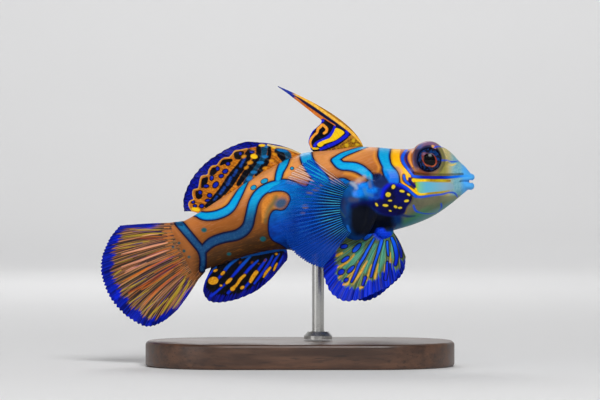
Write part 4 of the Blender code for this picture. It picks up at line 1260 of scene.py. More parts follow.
SAIL_MARKS = {
    "sail": [
        ((349, 136), (343, 131), (336, 126.5), (328, 121.5), (322, 119), (314, 128), (307, 138),
         (306, 147), (311, 153), (323, 151.5), (332, 148.5), (341, 143.5)),
    ],
    "gold_edge": [
        even(1.3, (366, 148), (361, 142.2), (356, 137), (350, 131.2), (343, 125.8), (336, 120.6),
             (328, 114.8), (320, 109.2), (312, 103.8), (304, 98.8), (296, 94.6), (290, 91.8)),
    ],
    "navy_line": [
        even(0.9, (349, 134), (342, 128.6), (334, 123), (326, 117.6), (318, 112), (309, 106.2),
             (300, 100.6), (294, 96.6)),
    ],
    "rust_line": [
        even(1.5, (334, 126), (328, 122.2), (321, 117.4), (315, 113), (308, 108.2), (301, 103), (295, 98.2)),
    ],
    "blue": [
        ((323, 120.5, 1.4), (317, 125.5, 1.3), (312.3, 131.5, 1.2), (309.2, 138, 1.2), (308.4, 144.5, 1.2),
         (311, 149.5, 1)),
        ((334.6, 127, 1.3), (333, 131, 1.4), (329, 136.2, 1.5), (323, 139.8, 1.4), (316.5, 143.2, 1.5),
         (314.5, 146, 1.4)),
        ((346.2, 131.5, 1.2), (347.2, 134.6, 1.6), (342.8, 138.2, 1.7), (337, 142, 1.6), (330, 145.2, 1.6),
         (324.5, 147.6, 1.5), (320.5, 149.2, 1.2)),
    ],
    "yellow": [
        ((336.4, 128), (344.2, 132), (341.4, 135.8), (336, 139.8), (330, 142), (324.5, 144),
         (321.5, 146.6), (318.2, 146.4), (317.4, 143.8), (322, 141), (328, 138.8), (330.6, 137.2),
         (333.6, 132.4)),
        ((312, 147.6), (318.5, 147.9), (318.3, 149.2), (313, 149.4)),
    ],
    "orange": [
        ((324, 133.2, 1.2), (326.2, 131.6, 1.3), (326.8, 128.8, 1.3), (324.6, 126.2, 1.3),
         (322.2, 124.6, 1.4), (320.4, 126.8, 1.3), (317.8, 129, 1.4), (317.2, 132.4, 1.2),
         (314, 135.4, 1.1), (311.2, 139, 1.2), (310, 143, 1.1), (311.4, 147, 1)),
    ],
    "foot": [
        ((353, 138.5), (362, 143.5), (370, 152), (350, 153), (330, 155), (318, 156), (326, 150.5),
         (336, 147), (345, 141.5)),
    ],
    "foot_spots": [(346.5, 145.4, 2.2, 2), (357, 144.6, 2, 1.4), (353.5, 140.5, 1.6, 2.2, 20)],
}


def first_dorsal():
    """The sail: ochre with black, blue, yellow and orange scrolls, and a long navy tip."""
    fin = Fin("first_dorsal_fin", FIRST_DORSAL_RAYS, median, (260, 130), SAIL_MARKS, splits=(), scallop=0,
              wave=0.1 * MM, membrane=0.3 * MM, ridge=0.22 * MM)
    fin.keep("right", fin.places[:, 0])
    paint = fin_paint("first dorsal fin")
    fine = paint.noise(0.3 * MM, 4)
    paint.top = paint.mottle(fine, (150, 100, 24), (186, 130, 40))
    paint.layers(
        ("navy_line", (10, 14, 60), 0.25, 0.1),
        ("rust_line", paint.mottle(fine, (190, 90, 24), (222, 130, 50)), 0.02, 0.08),
        ("sail", (4, 4, 16)),
        ("foot", paint.mottle(fine, (110, 62, 20), (168, 128, 18), 0.15), 0, 0.1),
        ("foot_spots", (206, 170, 30), 0, 0.15, 0.9),
        ("blue", (16, 30, 205), 0, 0.07),
        ("yellow", (240, 200, 20), 0, 0.07),
        ("orange", paint.mottle(fine, (232, 140, 30), (246, 170, 60)), 0, 0.07),
        ("gold_edge", paint.mottle(fine, (226, 160, 44), (248, 196, 80))),
    )
    paint.lay((paint.attribute("right"), 297, 291, (16, 44, 150)))
    settle(fin, paint, "fin_dorsal_first", 0.2)


ZIGZAG = (
    (247, 148.6), (240, 150.2), (235, 151), (232, 154.6), (229, 157.4), (224, 158), (220, 161), (217, 165),
    (212, 166.2), (209, 170), (207.6, 174.8), (202, 176), (200.2, 179.5), (199.2, 185), (198, 188.6),
    (193.4, 190), (192.6, 195), (193.8, 199.2), (190, 201.2), (188.6, 204.5), (190.4, 209), (193, 212),
    (196, 215.5),
)
DORSAL_MARKS = {
    "inner": [
        ZIGZAG[:-1]
        + ((200, 222), (230, 214), (270, 190), (310, 165), (306, 150), (290, 150.2), (278, 148.2),
           (270, 146.4), (262, 146.6), (254, 147))
    ],
    "zigzag": [even(0.55, *ZIGZAG)],
    "edge_line": [even(0.9, (268, 145), (276, 146.6), (286, 148.4), (296, 151.6), (304, 155))],
    "black": [
        ((234, 153), (239, 151.2), (244, 151.6), (243, 156.4), (240, 159.4), (235, 158.6)),
        ((222, 160.4), (227, 159), (232, 158.8), (232, 161.6), (225.5, 163.8), (219.5, 165.6)),
        ((211.5, 168.4), (215.5, 167.4), (217, 171.8), (213, 175.4), (209.6, 174.6)),
        ((202.6, 178.2), (207.8, 177), (207.4, 182.4), (204.4, 187), (201.2, 188), (201.2, 182)),
        ((195.2, 191.6), (199, 191), (202.6, 195.6), (200, 199), (196, 198)),
    ],
    "spots": [
        (240.3, 153.6, 1.7, 1.9), (228, 163.6, 2.2, 2), (217.4, 168.6, 1.9, 2.2),
        (225.2, 171.3, 3, 2.1, -30), (221.2, 176, 2.6, 1.8, -20), (211.6, 178, 1.8, 2.6, 10),
        (215.6, 184.8, 3.6, 2.4, -50), (206, 186, 2.8, 1.7), (200, 192.4, 2, 2.2), (209.6, 195.4, 2.5, 2.1),
        (207.4, 200.4, 2.8, 1.3, -10), (193, 202, 1.8, 1.6), (194.8, 206, 1.8, 1.5), (201.6, 206, 2.3, 1.9),
        (191, 212.5, 1.2, 1.2), (251.5, 152.2, 2.6, 1.3),
    ],
    "stripes": [
        ((249, 152, 2.2), (246.5, 158, 3.4), (242, 165, 4), (236.5, 172, 4.2), (231.5, 179, 4.6),
         (226.5, 186, 4.4), (221, 192.5, 3.8), (214, 199.5, 2.8), (206.5, 206, 1.6)),
        ((258.5, 147.5, 1.8), (258.6, 153, 2), (256.2, 159, 2.4), (252, 165, 2.6), (247.5, 171, 2.6),
         (243.2, 177, 2.4), (238.6, 184, 1.6)),
        ((269, 147.5, 1.3), (269.4, 153, 1.5), (268, 159, 1.9), (264.6, 165, 2.1), (260, 170.5, 1.7),
         (256, 175, 1)),
        ((276.4, 151.5, 1.4), (281, 155, 3), (283, 158.5, 2.2)),
    ],
    "cores": [
        ((244.6, 158.6, 1.7), (240.4, 166.2, 1.7)),
        ((236.6, 170.4, 1.6), (233.6, 175.4, 1.6)),
        ((230.8, 177.8, 1.9), (227.2, 184.6, 1.9)),
        ((224.4, 187.6, 1.9), (220.2, 193.4, 1.7)),
        ((217, 196.4, 1.4), (213.8, 200.2, 1.2)),
    ],
    "teal": [
        ((261, 147), (267.4, 147.4), (267, 154), (265.4, 160), (262, 165), (257.6, 170.6), (253.6, 175.6),
         (250, 181), (245, 185), (243, 183), (247, 176.5), (251.2, 170.6), (255.4, 164.4), (259.4, 158),
         (261, 152)),
        ((275, 148.6), (283, 149), (289.5, 151.6), (291.5, 157), (289, 164), (281, 164), (284.2, 158),
         (284.5, 154.5), (280, 152.6), (275.5, 151.4)),
    ],
    "glints": [
        (265, 156.6, 3.2, 1.6), (260.4, 162.6, 3.8, 1.4), (254, 172.2, 3.6, 1.5, -5),
        (249.4, 178.6, 3.2, 2.4, -30), (266.5, 146.4, 1.8, 1.6), (282.4, 150.6, 6, 1.3, 10),
        (287, 161.6, 3.4, 1.8), (252, 151.6, 2.6, 1.4),
    ],
    "gold": [
        (254, 156.4, 3.6, 2.3, 10), (262, 145.2, 3.4, 1.3), (273.5, 147.2, 2.6, 1.2, 20),
        (195.6, 209.4, 4.6, 1.8, 10),
    ],
    "amber": [
        (243.8, 156.6, 2.6, 1.6, -20), (274.6, 154.2, 2.6, 1.5, 10), (271.6, 160.6, 2.6, 1.4),
        (250, 162.6, 3, 1.8, -10), (265, 168, 2.6, 1.3, -20), (246.4, 167.6, 2.6, 1.4, -30),
    ],
}


def second_dorsal():
    """Orange with blue spots and dark stripes, inside a zigzag line and a blue margin."""
    fin = Fin("second_dorsal_fin", SECOND_DORSAL_RAYS, median, (320, 150), DORSAL_MARKS,
              splits=((0.55, 0.15),), wave=0.3 * MM, root=0.5 * MM)
    paint = fin_paint("second dorsal fin")
    fine = paint.noise(0.3 * MM, 4)
    streak = paint.noise(0.5 * MM, stretch=(1, 1, 3))
    ground = paint.over(
        paint.mottle(streak, (156, 80, 12), (216, 132, 26), 0.15),
        (fan(paint, 5, 2), 0.45, 0.65, (112, 62, 12), 0, 0.7),
        (paint.attribute("ray"), 0.1, 0.7, (196, 112, 26), 0, 0.35),
    )
    paint.top = paint.step(streak, 0.35, 0.7, (1, 6, 76), (6, 24, 176))
    paint.lay((paint.attribute("margin"), 0.5, 0.1, (6, 6, 60), 0, 0.6))
    paint.layers(
        ("inner", ground),
        ("teal", paint.mottle(fine, (4, 44, 74), (8, 78, 112)), 0, 0.1),
        ("stripes", (4, 4, 14), 0.1, 0.1, 1, 0.12),
        ("glints", (16, 112, 178), 0, 0.14, 0.95, 0.1),
        ("cores", paint.mottle(streak, (6, 26, 100), (22, 78, 168)), -0.08, 0.18, 1, 0.1),
        ("black", (6, 5, 12), 0, 0.07),
        ("spots", (8, 6, 16), 0.12, 0.06),
        ("spots", (14, 34, 170), -0.08, 0.08),
        ("amber", (214, 140, 24), 0, 0.18, 0.9),
        ("gold", (246, 196, 24), 0, 0.12),
        ("zigzag", (206, 150, 60)),
        ("edge_line", (216, 186, 120), 0, 0.08),
    )
    settle(fin, paint, "fin_dorsal_second")


TAIL_MARKS = {
    "inner": [
        ((230, 200), (180, 219), (160, 223.5), (152, 226.8), (140, 228.4), (128, 229.4), (121, 232),
         (118, 237), (115.6, 244), (113.4, 251), (112, 259), (111.4, 268), (111.8, 276), (113.6, 282),
         (117, 288), (121, 294), (126, 300.5), (131.5, 306.5), (137, 311.5), (142.5, 315.4), (148, 318),
         (154, 318), (161, 315.6), (167.5, 311.4), (172.5, 307.6), (178, 305), (190, 290), (220, 280)),
    ],
    "pink": [
        ((167, 242.8, 0.9), (155, 245.6, 1.3), (140, 249.4, 1.2), (121, 254.2, 0.7)),
        ((169.5, 249.4, 0.7), (158, 253.8, 1.2), (145, 258.8, 1.3), (133, 263, 1), (121, 266.8, 0.6)),
        ((139.4, 265.4, 0.5), (131, 268.6, 1), (124.6, 271.8, 0.5)),
        ((158, 234.6, 0.4), (150, 234.8, 0.7), (142, 235.6, 0.4)),
        ((146, 262.6, 0.4), (134, 268.4, 0.5), (124, 273.6, 0.4)),
    ],
    "orange": [
        ((178.5, 252.6, 0.8), (161.8, 261.6, 1.3), (145, 270, 1.3), (133, 276.4, 1), (122, 282, 0.6)),
        ((179.7, 264.2, 0.6), (165, 275, 1), (150, 284.8, 1), (141, 290, 0.5)),
        ((182.3, 270, 0.7), (167, 282.2, 1.2), (154, 293.8, 1.1), (143.8, 305, 0.6)),
        ((174, 246.4, 0.4), (160, 251, 0.7), (146, 256.4, 0.4)),
        ((170, 237.6, 0.4), (158, 236.8, 0.6), (140, 237.4, 0.4)),
        ((185, 257, 0.4), (170, 264.6, 0.6), (154, 273, 0.4)),
        ((150, 281.8, 0.4), (138, 288.6, 0.7), (128, 294, 0.5)),
    ],
    "rust": [
        ((181, 260.6, 0.8), (161.8, 273.4, 1.5), (145, 284.2, 1.5), (128, 293, 0.8)),
        ((164, 239.6, 0.5), (148, 238.8, 0.7), (134.9, 238.8, 0.4)),
        ((184, 267, 0.5), (170, 279, 0.8), (156, 290, 0.8), (147, 299, 0.4)),
        ((186, 272.6, 0.4), (175, 286, 0.7), (165, 297, 0.4)),
    ],
    "yellow": [
        ((160, 229.6, 0.5), (143, 229.6, 0.9), (129.7, 229.8, 0.5)),
        ((164, 233, 0.5), (151.5, 233.8, 1.2), (136, 235.4, 1.1), (120.8, 237.2, 0.5)),
        ((149, 241.2, 0.4), (133, 243.6, 0.8), (118.2, 245.6, 0.5)),
        ((134.9, 246.2, 0.4), (125, 247.8, 0.8), (116.3, 249.4, 0.4)),
        ((132, 258.6, 0.4), (122, 261.8, 0.6), (113.5, 264.2, 0.4)),
        ((120.5, 270.5, 0.6), (116, 273.5, 0.9), (112.3, 277, 0.4)),
        ((146, 278.4, 0.4), (134, 285, 0.9), (121, 291.4, 0.5)),
        ((148, 290, 0.4), (136, 298.5, 0.9), (128.5, 303.4, 0.5)),
        ((161.8, 297.4, 0.5), (149, 306.4, 1), (140, 314, 0.5)),
        ((168, 298.7, 0.5), (156.7, 309, 1.1), (148, 318, 0.5)),
        ((187, 275, 0.6), (178, 290, 1.7), (168, 304, 1.6), (160.5, 315, 0.6)),
        ((191.5, 276, 0.5), (185, 290, 1.4), (177, 303, 1.3), (172.5, 309, 0.5)),
    ],
    "navy": [
        ((178.5, 253.4, 0.35), (161.8, 262.4, 0.5), (147, 269.6, 0.3)),
        ((186, 273, 0.35), (173, 288.7, 0.6), (162.8, 300.5, 0.6), (157, 307.6, 0.3)),
        ((189.4, 275.4, 0.35), (182, 291, 0.6), (174, 305.4, 0.35)),
        ((147, 276, 0.3), (139, 281, 0.6), (131.5, 285.8, 0.3)),
        ((169.5, 232, 0.25), (150, 231.8, 0.45), (132.3, 231.6, 0.3)),
        ((142, 243, 0.5), (130, 244.8, 0.3)),
        ((136.5, 255.4, 0.55), (127, 258.4, 0.3)),
        ((128.5, 285.4, 0.5), (119.5, 291, 0.3)),
        ((146, 293, 0.3), (138, 298.4, 0.5), (130.5, 302.6, 0.3)),
        ((164, 295.6, 0.3), (152, 305, 0.45), (143, 312.6, 0.3)),
        ((138.5, 265.8, 0.4), (129.5, 269.4, 0.25)),
    ],
    "purple": [
        ((180.5, 262.6, 0.3), (165, 272.2, 0.5), (151, 279.8, 0.3)),
        ((183, 270.4, 0.3), (168, 281.8, 0.5), (156, 291.6, 0.3)),
        ((170, 248, 0.25), (152, 254.6, 0.45), (136, 260.2, 0.3)),
        ((170, 239.6, 0.25), (156, 242.8, 0.4), (141, 245.6, 0.3)),
        ((176, 257.6, 0.25), (158, 267.4, 0.4), (140, 276.4, 0.3)),
    ],
    "dots": TEAL_DOTS,
    "band": [STALK_BAND],
}


def caudal():
    """The tail fin: a blue margin, a brown membrane with ochre rays, and streaks along them."""
    fin = Fin("caudal_fin", CAUDAL_RAYS, median, (400, 124), TAIL_MARKS, per=2, splits=((0.4, 0.2),),
              wave=0.5 * MM, root=2.2 * MM, membrane=0.16 * MM)
    fin.keep("right", fin.places[:, 0])
    fin.keep("down", fin.places[:, 1])
    paint = fin_paint("caudal fin")
    rays = paint.attribute("ray")
    streak, broad_streak = fan(paint, 9, 1.6), fan(paint, 3.2, 1)
    broken = paint.ramp(fan(paint, 14, 3), 0.34, 0.5, 0.45, 1)
    paint.top = paint.over(
        paint.mottle(streak, (2, 10, 92), (6, 28, 168), 0.15),
        (paint.noise(2.2 * MM), 0.5, 0.68, (8, 34, 222), 0, 0.8),
        (rays, 0.2, 0.8, (12, 50, 200), 0, 0.35),
    )
    gleam = paint.step(broad_streak, 0.42, 0.5, (150, 84, 40), (168, 134, 62))
    membrane = paint.over(
        paint.mottle(streak, (48, 38, 36), (84, 66, 48), 0.1),
        (rays, 0.25, 0.8, paint.step(broad_streak, 0.52, 0.6, gleam, (196, 128, 92)), 0, 0.9),
        (fan(paint, 8, 1.1), 0.5, 0.6, (206, 140, 94), 0, 0.6),
        (fan(paint, 11, 1.4), 0.44, 0.36, (50, 32, 66), 0, 0.7),
    )
    # browner and plainer at the base, as on the stalk
    rooted = paint.math("MULTIPLY_ADD", streak, 0.16, paint.attribute("share"))
    base = paint.over(
        orange_ground(paint)[0],
        (0.4, (176, 102, 56)),
        (rays, 0.25, 0.8, (204, 128, 72), 0, 0.55),
    )
    membrane = paint.step(rooted, 0.09, 0.28, base, membrane)
    paint.layer(feathered(paint, "inner", streak, 2), membrane, 0, 0.25)
    for name, colour, strength in (
        ("rust", (146, 58, 34), 0.9),
        ("yellow", (186, 156, 48), 0.9),
        ("orange", (212, 112, 36), 0.92),
        ("pink", (228, 154, 122), 0.92),
        ("purple", (88, 42, 92), 0.85),
        ("navy", (20, 18, 128), 0.95),
    ):
        share = paint.ramp(feathered(paint, name, streak, 0.14), -0.14, 0.06, strength, 0)
        paint.lay((paint.times(share, broken), colour))
    paint.layers(
        ("dots", (22, 40, 96), 0, 0.12),
        ("band", NAVY_EDGE, 0.24, 0.09),
        ("band", (24, 72, 118), -0.1, 0.16),
    )
    settle(fin, paint, "fin_caudal")


ANAL_MARKS = {
    "inner": [
        ((195, 262), (205.4, 276), (205, 284), (208.4, 290.6), (215, 294.6), (225, 296), (236, 293.8),
         (247, 290), (257, 284.6), (266, 277.6), (274, 270), (280.5, 261), (284, 252.6), (290, 240),
         (240, 240)),
    ],
    "blue": [
        ((286, 251, 1.6), (283, 248.6, 2.2), (277, 249.4, 2.2), (269, 251.2, 1.8), (260, 253, 1.7),
         (250, 254.6, 1.8), (242, 257.4, 1.2)),
        ((238, 258.4, 1.2), (229.5, 265, 1.4), (221, 275.4, 1.4), (217, 280, 1)),
        ((250.3, 256.6, 1.1), (243, 264.4, 1.5), (235, 273.4, 1.3), (228.6, 280.6, 0.9), (218, 290.6, 1),
         (211, 296, 1.4)),
        ((258, 260.6, 0.8), (250, 268, 1.4), (243.6, 275.4, 1.3), (236, 285, 1.2), (228, 293, 1.4)),
        ((266, 259.6, 1), (259, 269.4, 1.4), (252, 279, 1.2), (244, 288.6, 1.2)),
        ((272.6, 256, 0.9), (267, 266.4, 1.3), (260.6, 275.4, 1.2), (254.4, 283.6, 1)),
        ((279.4, 253.8, 0.8), (274.8, 260.4, 1.1), (269.4, 270.6, 1.1), (265, 278, 0.9)),
        ((283, 256, 0.6), (279.6, 263, 1), (275, 269.6, 0.8)),
        ((216, 267, 0.8), (208, 276, 1), (204, 284, 1.2)),
    ],
    "gold": [
        ((233, 288, 1.6), (236.6, 284.8, 1.3), (240, 279.6, 1.5), (244.6, 275.2, 1.3)),
        ((250.6, 281.4, 1.6), (252.6, 277.4, 1.9), (256.4, 272.2, 1.9)),
        ((263.6, 277, 0.8), (266.2, 272.4, 1.3), (270.4, 267.6, 1)),
        ((274, 270.2, 0.8), (275.6, 266.2, 1.1), (277, 263.6, 0.8)),
        (213.2, 280.8, 5.2, 3.9, -10), (215.4, 270.6, 2.5, 1.3, -25), (222.8, 273.2, 2.9, 1.5, -45),
        (228.8, 281, 4.5, 1.7, -42), (232.6, 288.8, 2.6, 2.2, -30), (242.3, 287.6, 2.5, 1.6, -30),
        (276.4, 254, 1.5, 1.3), (221, 285.6, 1.4, 1),
    ],
    "rust": [
        (252, 262.4, 1.6, 1.1, -40), (265, 260.4, 1.9, 1, -50), (240, 262.4, 1.7, 1, -40),
        (258.6, 263.8, 1.2, 0.8),
    ],
}


def anal():
    """Black with blue stripes, gold streaks and a blue margin."""
    fin = Fin("anal_fin", ANAL_RAYS, median, (300, 120), ANAL_MARKS, splits=((0.6, 0.14),), wave=0.3 * MM,
              root=0.4 * MM)
    paint = fin_paint("anal fin")
    fine, streak = paint.noise(FINE, 4), fan(paint, 9, 1.6)
    paint.top = paint.mottle(streak, (3, 6, 76), (6, 18, 150), 0.15)
    foot = paint.step(paint.attribute("share"), 0, 0.35, (4, 88, 176), (8, 44, 196))
    paint.layers(
        (feathered(paint, "inner", streak, 0.8), (4, 4, 14), 0, 0.14),
        (feathered(paint, "blue", streak, 0.08), foot, 0, 0.12),
        (paint.attribute("gold"), (5, 4, 10), 0.14, 0.08),
        ("gold", paint.mottle(fine, (198, 124, 14), (232, 168, 34)), 0, 0.1),
        ("rust", (104, 52, 18), 0, 0.14),
    )
    settle(fin, paint, "fin_anal")


PELVIC_MARKS = {
    "inner": [
        ((334, 244.5), (334.4, 254), (335.2, 262), (336.4, 268), (334.8, 273), (338.4, 278.6),
         (342, 281.6), (343.2, 285.4), (349, 287.4), (355, 287.8), (360, 288.8), (364, 285.6),
         (367.4, 281.4), (373, 279.6), (377.6, 276.6), (381, 271.6), (384.4, 273), (387, 262),
         (390.8, 263.4), (394, 269), (398, 270), (401, 262), (400, 246), (396, 230), (380, 222),
         (350, 228), (338, 238)),
    ],
    "blue": [
        ((373.4, 239, 0.9), (367.2, 249.4, 1.2), (362.6, 258, 1.3), (358.4, 264.6, 1.2), (355, 273, 1.1),
         (351, 281, 0.8)),
        ((381.2, 240.6, 1.4), (379, 248.4, 1.5), (376.8, 255.4, 1.1), (374.4, 262.2, 1.1),
         (372.4, 269, 1.1), (370.4, 276, 0.8)),
        ((386.8, 241.6, 0.9), (387, 248, 1), (387.6, 255, 0.6)),
        ((391.4, 238, 1.2), (394.4, 246, 1.7), (396, 256, 1.6), (394.6, 264, 1.2)),
        ((386.6, 262, 0.8), (386, 270, 1.3), (384.6, 278, 1.4)),
        ((364.6, 277, 1.3), (362.2, 284, 0.9)),
        (367.2, 236.4, 5.2, 1.9, -36), (356.3, 247.6, 5.8, 2.1, -46), (343.4, 246, 3.6, 1.9, -12),
        (344.8, 258.8, 4.6, 1.6, -36), (350.2, 269, 4.8, 1.6, -45), (340.6, 271.4, 3.4, 2.2, -35),
        (345.6, 279.2, 2.3, 1.5, -30), (353.4, 235, 2.2, 1.5, -20),
    ],
    "gold": [
        ((336.6, 254.6, 1.7), (341.6, 252.6, 1)),
        ((337.4, 266.6, 0.9), (344.6, 263.2, 1.1), (349.2, 259.6, 0.9), (353.6, 254.4, 0.6)),
        ((346.6, 276.2, 0.7), (352.6, 271.4, 1), (356.8, 265.4, 0.9), (357.8, 261, 0.6)),
        ((343.2, 283.8, 1.4), (347.2, 282.8, 1.2), (349.6, 277.4, 0.9), (353.2, 271.4, 0.6)),
        ((352.2, 283.8, 0.7), (355.4, 278.4, 1.2), (360.2, 271.6, 1.4), (363.4, 266, 1.1),
         (366.6, 260.8, 0.6)),
        ((366.2, 279.6, 0.8), (368.6, 271.2, 1), (370.8, 264.6, 0.6)),
        ((374.2, 277.6, 0.9), (375.6, 271.2, 1), (377.4, 263.8, 0.7)),
        ((383.5, 271.2, 0.6), (384.4, 264, 0.5)),
        ((389.4, 261.8, 0.7), (389.7, 252.6, 0.5)),
        ((335.4, 250, 1), (337.6, 245.6, 0.7)),
        ((359.6, 286.8, 1.2), (361.6, 286, 1.2)),
        ((338, 277, 0.7), (341, 275, 0.5)),
        ((396.4, 262, 0.5), (397.4, 256, 0.4)),
    ],
    "green": [
        ((362.5, 243, 1.8), (358, 252, 2.6), (352, 261, 2.2), (344, 267.4, 1.2)),
        ((374.6, 244.6, 1.2), (371, 254, 1.8), (367.6, 263, 1.6), (364.4, 271.6, 1)),
        ((383.4, 240, 0.8), (383, 250, 1.5), (381.4, 260, 1.6), (378.4, 270, 1)),
        ((391.6, 242, 0.7), (391.8, 250, 1.2), (391.4, 257, 0.8)),
    ],
}


def pelvic(hand, word):
    """Green and gold streaks with blue bars and spots, inside a blue margin."""
    outs = spread(PELVIC_OUT if hand > 0 else PELVIC_OUT_LEFT, hand, PELVIC_CUP, len(PELVIC_RAYS) - 1)
    fin = Fin("pelvic_fin_" + word, PELVIC_RAYS, outs, (330, 150), PELVIC_MARKS, splits=((0.5, 0.16),),
              root=0.2 * MM, turn=forward if hand < 0 else None)
    paint = fin_paint("pelvic fin " + word)
    fine, streak = paint.noise(FINE, 4), fan(paint, 9, 1.8)
    rays, share = paint.attribute("ray"), paint.attribute("share")
    paint.top = paint.over(
        paint.mottle(streak, (0, 14, 118), (2, 44, 214), 0.15),
        (rays, 0.2, 0.8, (10, 54, 222), 0, 0.35),
    )
    ground = paint.over(
        paint.mottle(streak, (44, 66, 50), (104, 116, 66), 0.15),
        (rays, 0.2, 0.8, (142, 156, 84), 0, 0.6),
        (fan(paint, 3, 1.4), 0.48, 0.62, (62, 136, 116), 0, 0.6),
    )
    green = paint.mottle(streak, (38, 112, 96), (92, 172, 140), 0.15)
    gold = paint.mottle(fine, (216, 138, 24), (234, 184, 56))
    paint.layers(
        (feathered(paint, "inner", streak, 1.3), ground, -0.05, 0.16),
        (feathered(paint, "green", streak, 0.15), green, 0.05, 0.22, 0.95),
        (feathered(paint, "gold", streak, 0.3), gold, -0.04, 0.16, 0.9),
        ("blue", (2, 8, 40), 0.17, 0.1),
        ("blue", paint.step(share, 0.1, 0.85, (14, 100, 240), (4, 28, 196)), -0.02, 0.1),
    )
    root = paint.mottle(fine, (2, 40, 200), (10, 70, 240))
    paint.top = paint.step(share, 0.06, 0.13, root, paint.top)
    settle(fin, paint, "fin_pelvic_" + word, 0.3)


def pectoral(hand, word):
    """Nearly clear skin between fine rays: pinkish ones above, over the orange, and blue ones below. The
    pale pink of the upper rays is partly painted highlight, and the dark skin between rays partly painted
    shade.
    """
    outs = spread(PECTORAL_OUT, hand, PECTORAL_CUP, PECTORAL_RAYS - 1)
    fin = Fin("pectoral_fin_" + word, pectoral_rays(), outs, (520, 95), {"saddle": [SADDLE_BAND]}, per=2,
              splits=((0.5, 0.2),), width=0.3, scallop=0.03, root=0.2 * MM, membrane=0.08 * MM)
    fin.keep("right", fin.places[:, 0])
    fin.keep("down", fin.places[:, 1])
    paint = fin_paint("pectoral fin " + word)
    streak, broad_streak = fan(paint, 6, 2.2), fan(paint, 1.6, 1.2)
    rays, share, right, down = (paint.attribute(name) for name in ("ray", "share", "right", "down"))
    low = paint.larger(paint.ramp(down, 176, 187), paint.ramp(paint.attribute("saddle"), 0.3, -0.1))
    near = paint.mottle(broad_streak, (16, 140, 222), (72, 186, 196), 0.1)
    blue_ray = paint.over(
        near,
        (share, 0.2, 0.5, paint.mottle(broad_streak, (0, 104, 214), (6, 74, 206), 0.15)),
        (fan(paint, 9, 5), 0.42, 0.6, (0, 66, 176), 0, 0.6),
        (down, 218, 250, (2, 58, 156)),
    )
    # the dark skin between the rays is partly painted shade
    deep_web = paint.mottle(streak, (0, 14, 62), (0, 30, 92), 0.15)
    web = paint.mix(low, (84, 50, 62), paint.step(share, 0.2, 0.55, deep_web, (0, 56, 156)))
    # the pale pink of the rays above is partly painted highlight
    paint.top = paint.step(rays, 0.2, 0.6, web, paint.mix(low, (240, 196, 172), blue_ray))

    # the skin is clearer above and towards the margin, and over the hook of orange
    web_share = paint.times(paint.ramp(share, 0.15, 0.55, 0.85, 0.15), paint.ramp(down, 176, 196, 0.5, 1))
    web_share = paint.larger(web_share, paint.ramp(down, 225, 248, 0, 0.8))
    ray_share = paint.larger(paint.ramp(share, 0.3, 0.85, 0.9, 0.3), paint.ramp(down, 190, 176, 0, 0.85))
    ray_share = paint.larger(ray_share, paint.ramp(down, 225, 248, 0, 0.85))
    off_hook = paint.larger(paint.ramp(right, 284, 304, 0.1, 1), paint.ramp(down, 236, 248))
    off_hook = paint.larger(off_hook, paint.ramp(down, 184, 176))
    shown = paint.ramp(rays, 0.1, 0.6, web_share, ray_share)
    paint.link(paint.times(shown, off_hook), paint.shader.inputs["Alpha"])
    settle(fin, paint, "fin_pectoral_" + word)


# Stand


def stand_base():
    """A dark wood board with rounded ends and eased edges."""
    steps, edge_steps = 24, 6
    quarter = math.radians(90)
    middles = (STAND_LENGTH / 2 - STAND_CORNER, STAND_WIDTH / 2 - STAND_CORNER)
    outline = []
    for corner, (i, k) in enumerate(((1, 1), (-1, 1), (-1, -1), (1, -1))):
        for step in range(steps + 1):
            angle = quarter * (corner + step / steps)
            outline.append((i * middles[0], k * middles[1], math.cos(angle), math.sin(angle)))
    x, y, out_x, out_y = np.array(outline).T
    turns = [quarter * step / edge_steps for step in range(edge_steps + 1)]
    levels = [(STAND_EDGE * (1 - math.sin(t)), STAND_EDGE * (1 - math.cos(t))) for t in turns]
    levels += [(inset, STAND_THICKNESS - height) for inset, height in reversed(levels)]
    rings = []
    for inset, height in levels:
        radius = STAND_CORNER - inset
        rings.append(np.stack([x + radius * out_x, y + radius * out_y, np.full(len(x), height)], -1))
    lump = Lump()
    lump.tube(np.array(rings)[:, ::-1])
    base = lump.built("base")
    base.data.set_sharp_from_angle(angle=math.radians(50))

    paint = Paint("dark stained wood", roughness=0.42, coat=0.15, coat_roughness=0.25)
    grain = paint.noise(1.6 * MM, 5, 0.6, stretch=(0.12, 1, 1))
    pores = paint.noise(0.35 * MM, 3, 0.6, stretch=(0.08, 1, 1))
    paint.top = paint.over(
        paint.mottle(grain, (58, 38, 28), (92, 62, 44)),
        (pores, 0.55, 0.7, (34, 22, 18), 0, 0.7),
    )
    paint.link(paint.ramp(grain, 0.3, 0.7, 0.36, 0.5), paint.shader.inputs["Roughness"])
    paint.bump(0.06 * MM, (grain, 0.2), (pores, 0.25))
    paint.finish(base)
    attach(base, "root")
    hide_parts("stand_base")


def stand_metal():
    """Satin steel on the solids of rod and collar."""
    steel = Paint("satin steel", roughness=0.3, coat=0)
    steel.shader.inputs["Metallic"].default_value = 1
    brushed = steel.noise(0.25 * MM, 3, 0.6, stretch=(1, 1, 12))
    steel.top = steel.mottle(brushed, (186, 186, 184), (214, 214, 210))
    steel.link(steel.ramp(brushed, 0.3, 0.7, 0.24, 0.36), steel.shader.inputs["Roughness"])
    steel.bump(0.02 * MM, (brushed, 0.15))
    for name in ("stand_rod", "stand_collar"):
        steel.finish(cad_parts[name])


# Camera, floor and light


def camera():
    """Looks along +Y with the photo's view."""
    data = bpy.data.cameras.new("camera")
    obj = bpy.data.objects.new("camera", data)
    bpy.context.scene.collection.objects.link(obj)
    obj.location = (0, -CAMERA_DISTANCE, MIDDLE_HEIGHT)
    obj.rotation_euler = (math.radians(90), 0, 0)
    data.sensor_width = 36
    data.lens = data.sensor_width * CAMERA_DISTANCE / (VIEW_WIDTH * PIXEL)
    data.clip_start = 0.01
    data.clip_end = 20
    bpy.context.scene.camera = obj


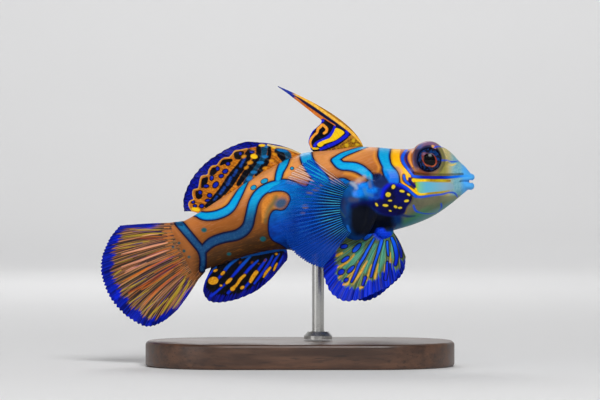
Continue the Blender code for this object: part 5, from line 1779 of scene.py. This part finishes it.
def studio_floor():
    """A floor that sweeps up into a wall all round, far from the model."""
    around, bends = 96, 16
    start, flat_to, reach, top = 0.02, 0.9, 1.6, 2.3
    radius = reach - flat_to
    profile = [(start, 0), (flat_to, 0)]
    for step in range(1, bends + 1):
        bend = math.radians(90) * step / bends
        profile.append((flat_to + radius * math.sin(bend), radius * (1 - math.cos(bend))))
    profile.append((reach, top))
    turn = np.linspace(0, math.tau, around, endpoint=False)
    rings = [np.stack([r * np.cos(turn), r * np.sin(turn), np.full(around, z)], -1) for r, z in profile]
    points = np.concatenate([*rings, [[0, 0, 0]]])
    middle = [(len(points) - 1, k, (k + 1) % around) for k in range(around)]
    floor = make("studio_floor", points, [*grid_faces(len(profile), around, wrap=True), *middle])
    paint = Paint("studio floor", roughness=0.9, coat=0, specular=0.2)
    paint.top = paint.mix(paint.noise(0.3, 2), (220, 220, 221), (227, 227, 227))
    paint.finish(floor)


def lights():
    """A soft white world and four square lamps: name, place, size, power, target."""
    world = bpy.data.worlds.new("studio light")
    world.use_nodes = True
    background = world.node_tree.nodes["Background"]
    background.inputs["Color"].default_value = (1, 1, 1, 1)
    background.inputs["Strength"].default_value = 0.24
    bpy.context.scene.world = world
    middle, wall = (0, 0, MIDDLE_HEIGHT), (0, 1.6, 0.35)
    for name, place, size, power, target in (
        ("key", (0.12, -0.6, 0.5), 0.3, 4.4, middle),
        ("fill", (-0.6, -0.5, 0.2), 0.4, 0.8, middle),
        ("rim", (-0.1, 0.6, 0.5), 0.3, 1.6, middle),
        ("backdrop", (0, 0.9, 1), 0.6, 6, wall),
    ):
        lamp = bpy.data.lights.new(name, "AREA")
        lamp.shape = "SQUARE"
        lamp.size = size
        lamp.energy = power
        obj = bpy.data.objects.new(name, lamp)
        bpy.context.scene.collection.objects.link(obj)
        obj.location = place
        obj.rotation_mode = "QUATERNION"
        obj.rotation_quaternion = (Vector(place) - Vector(target)).to_track_quat("Z", "Y")
    bpy.context.scene.view_settings.view_transform = "Standard"


camera()
studio_floor()
lights()
body()
for word, hand in HANDS.items():
    eyeball(hand, word)
first_dorsal()
second_dorsal()
caudal()
anal()
for word, hand in HANDS.items():
    pelvic(hand, word)
    pectoral(hand, word)
stand_base()
stand_metal()
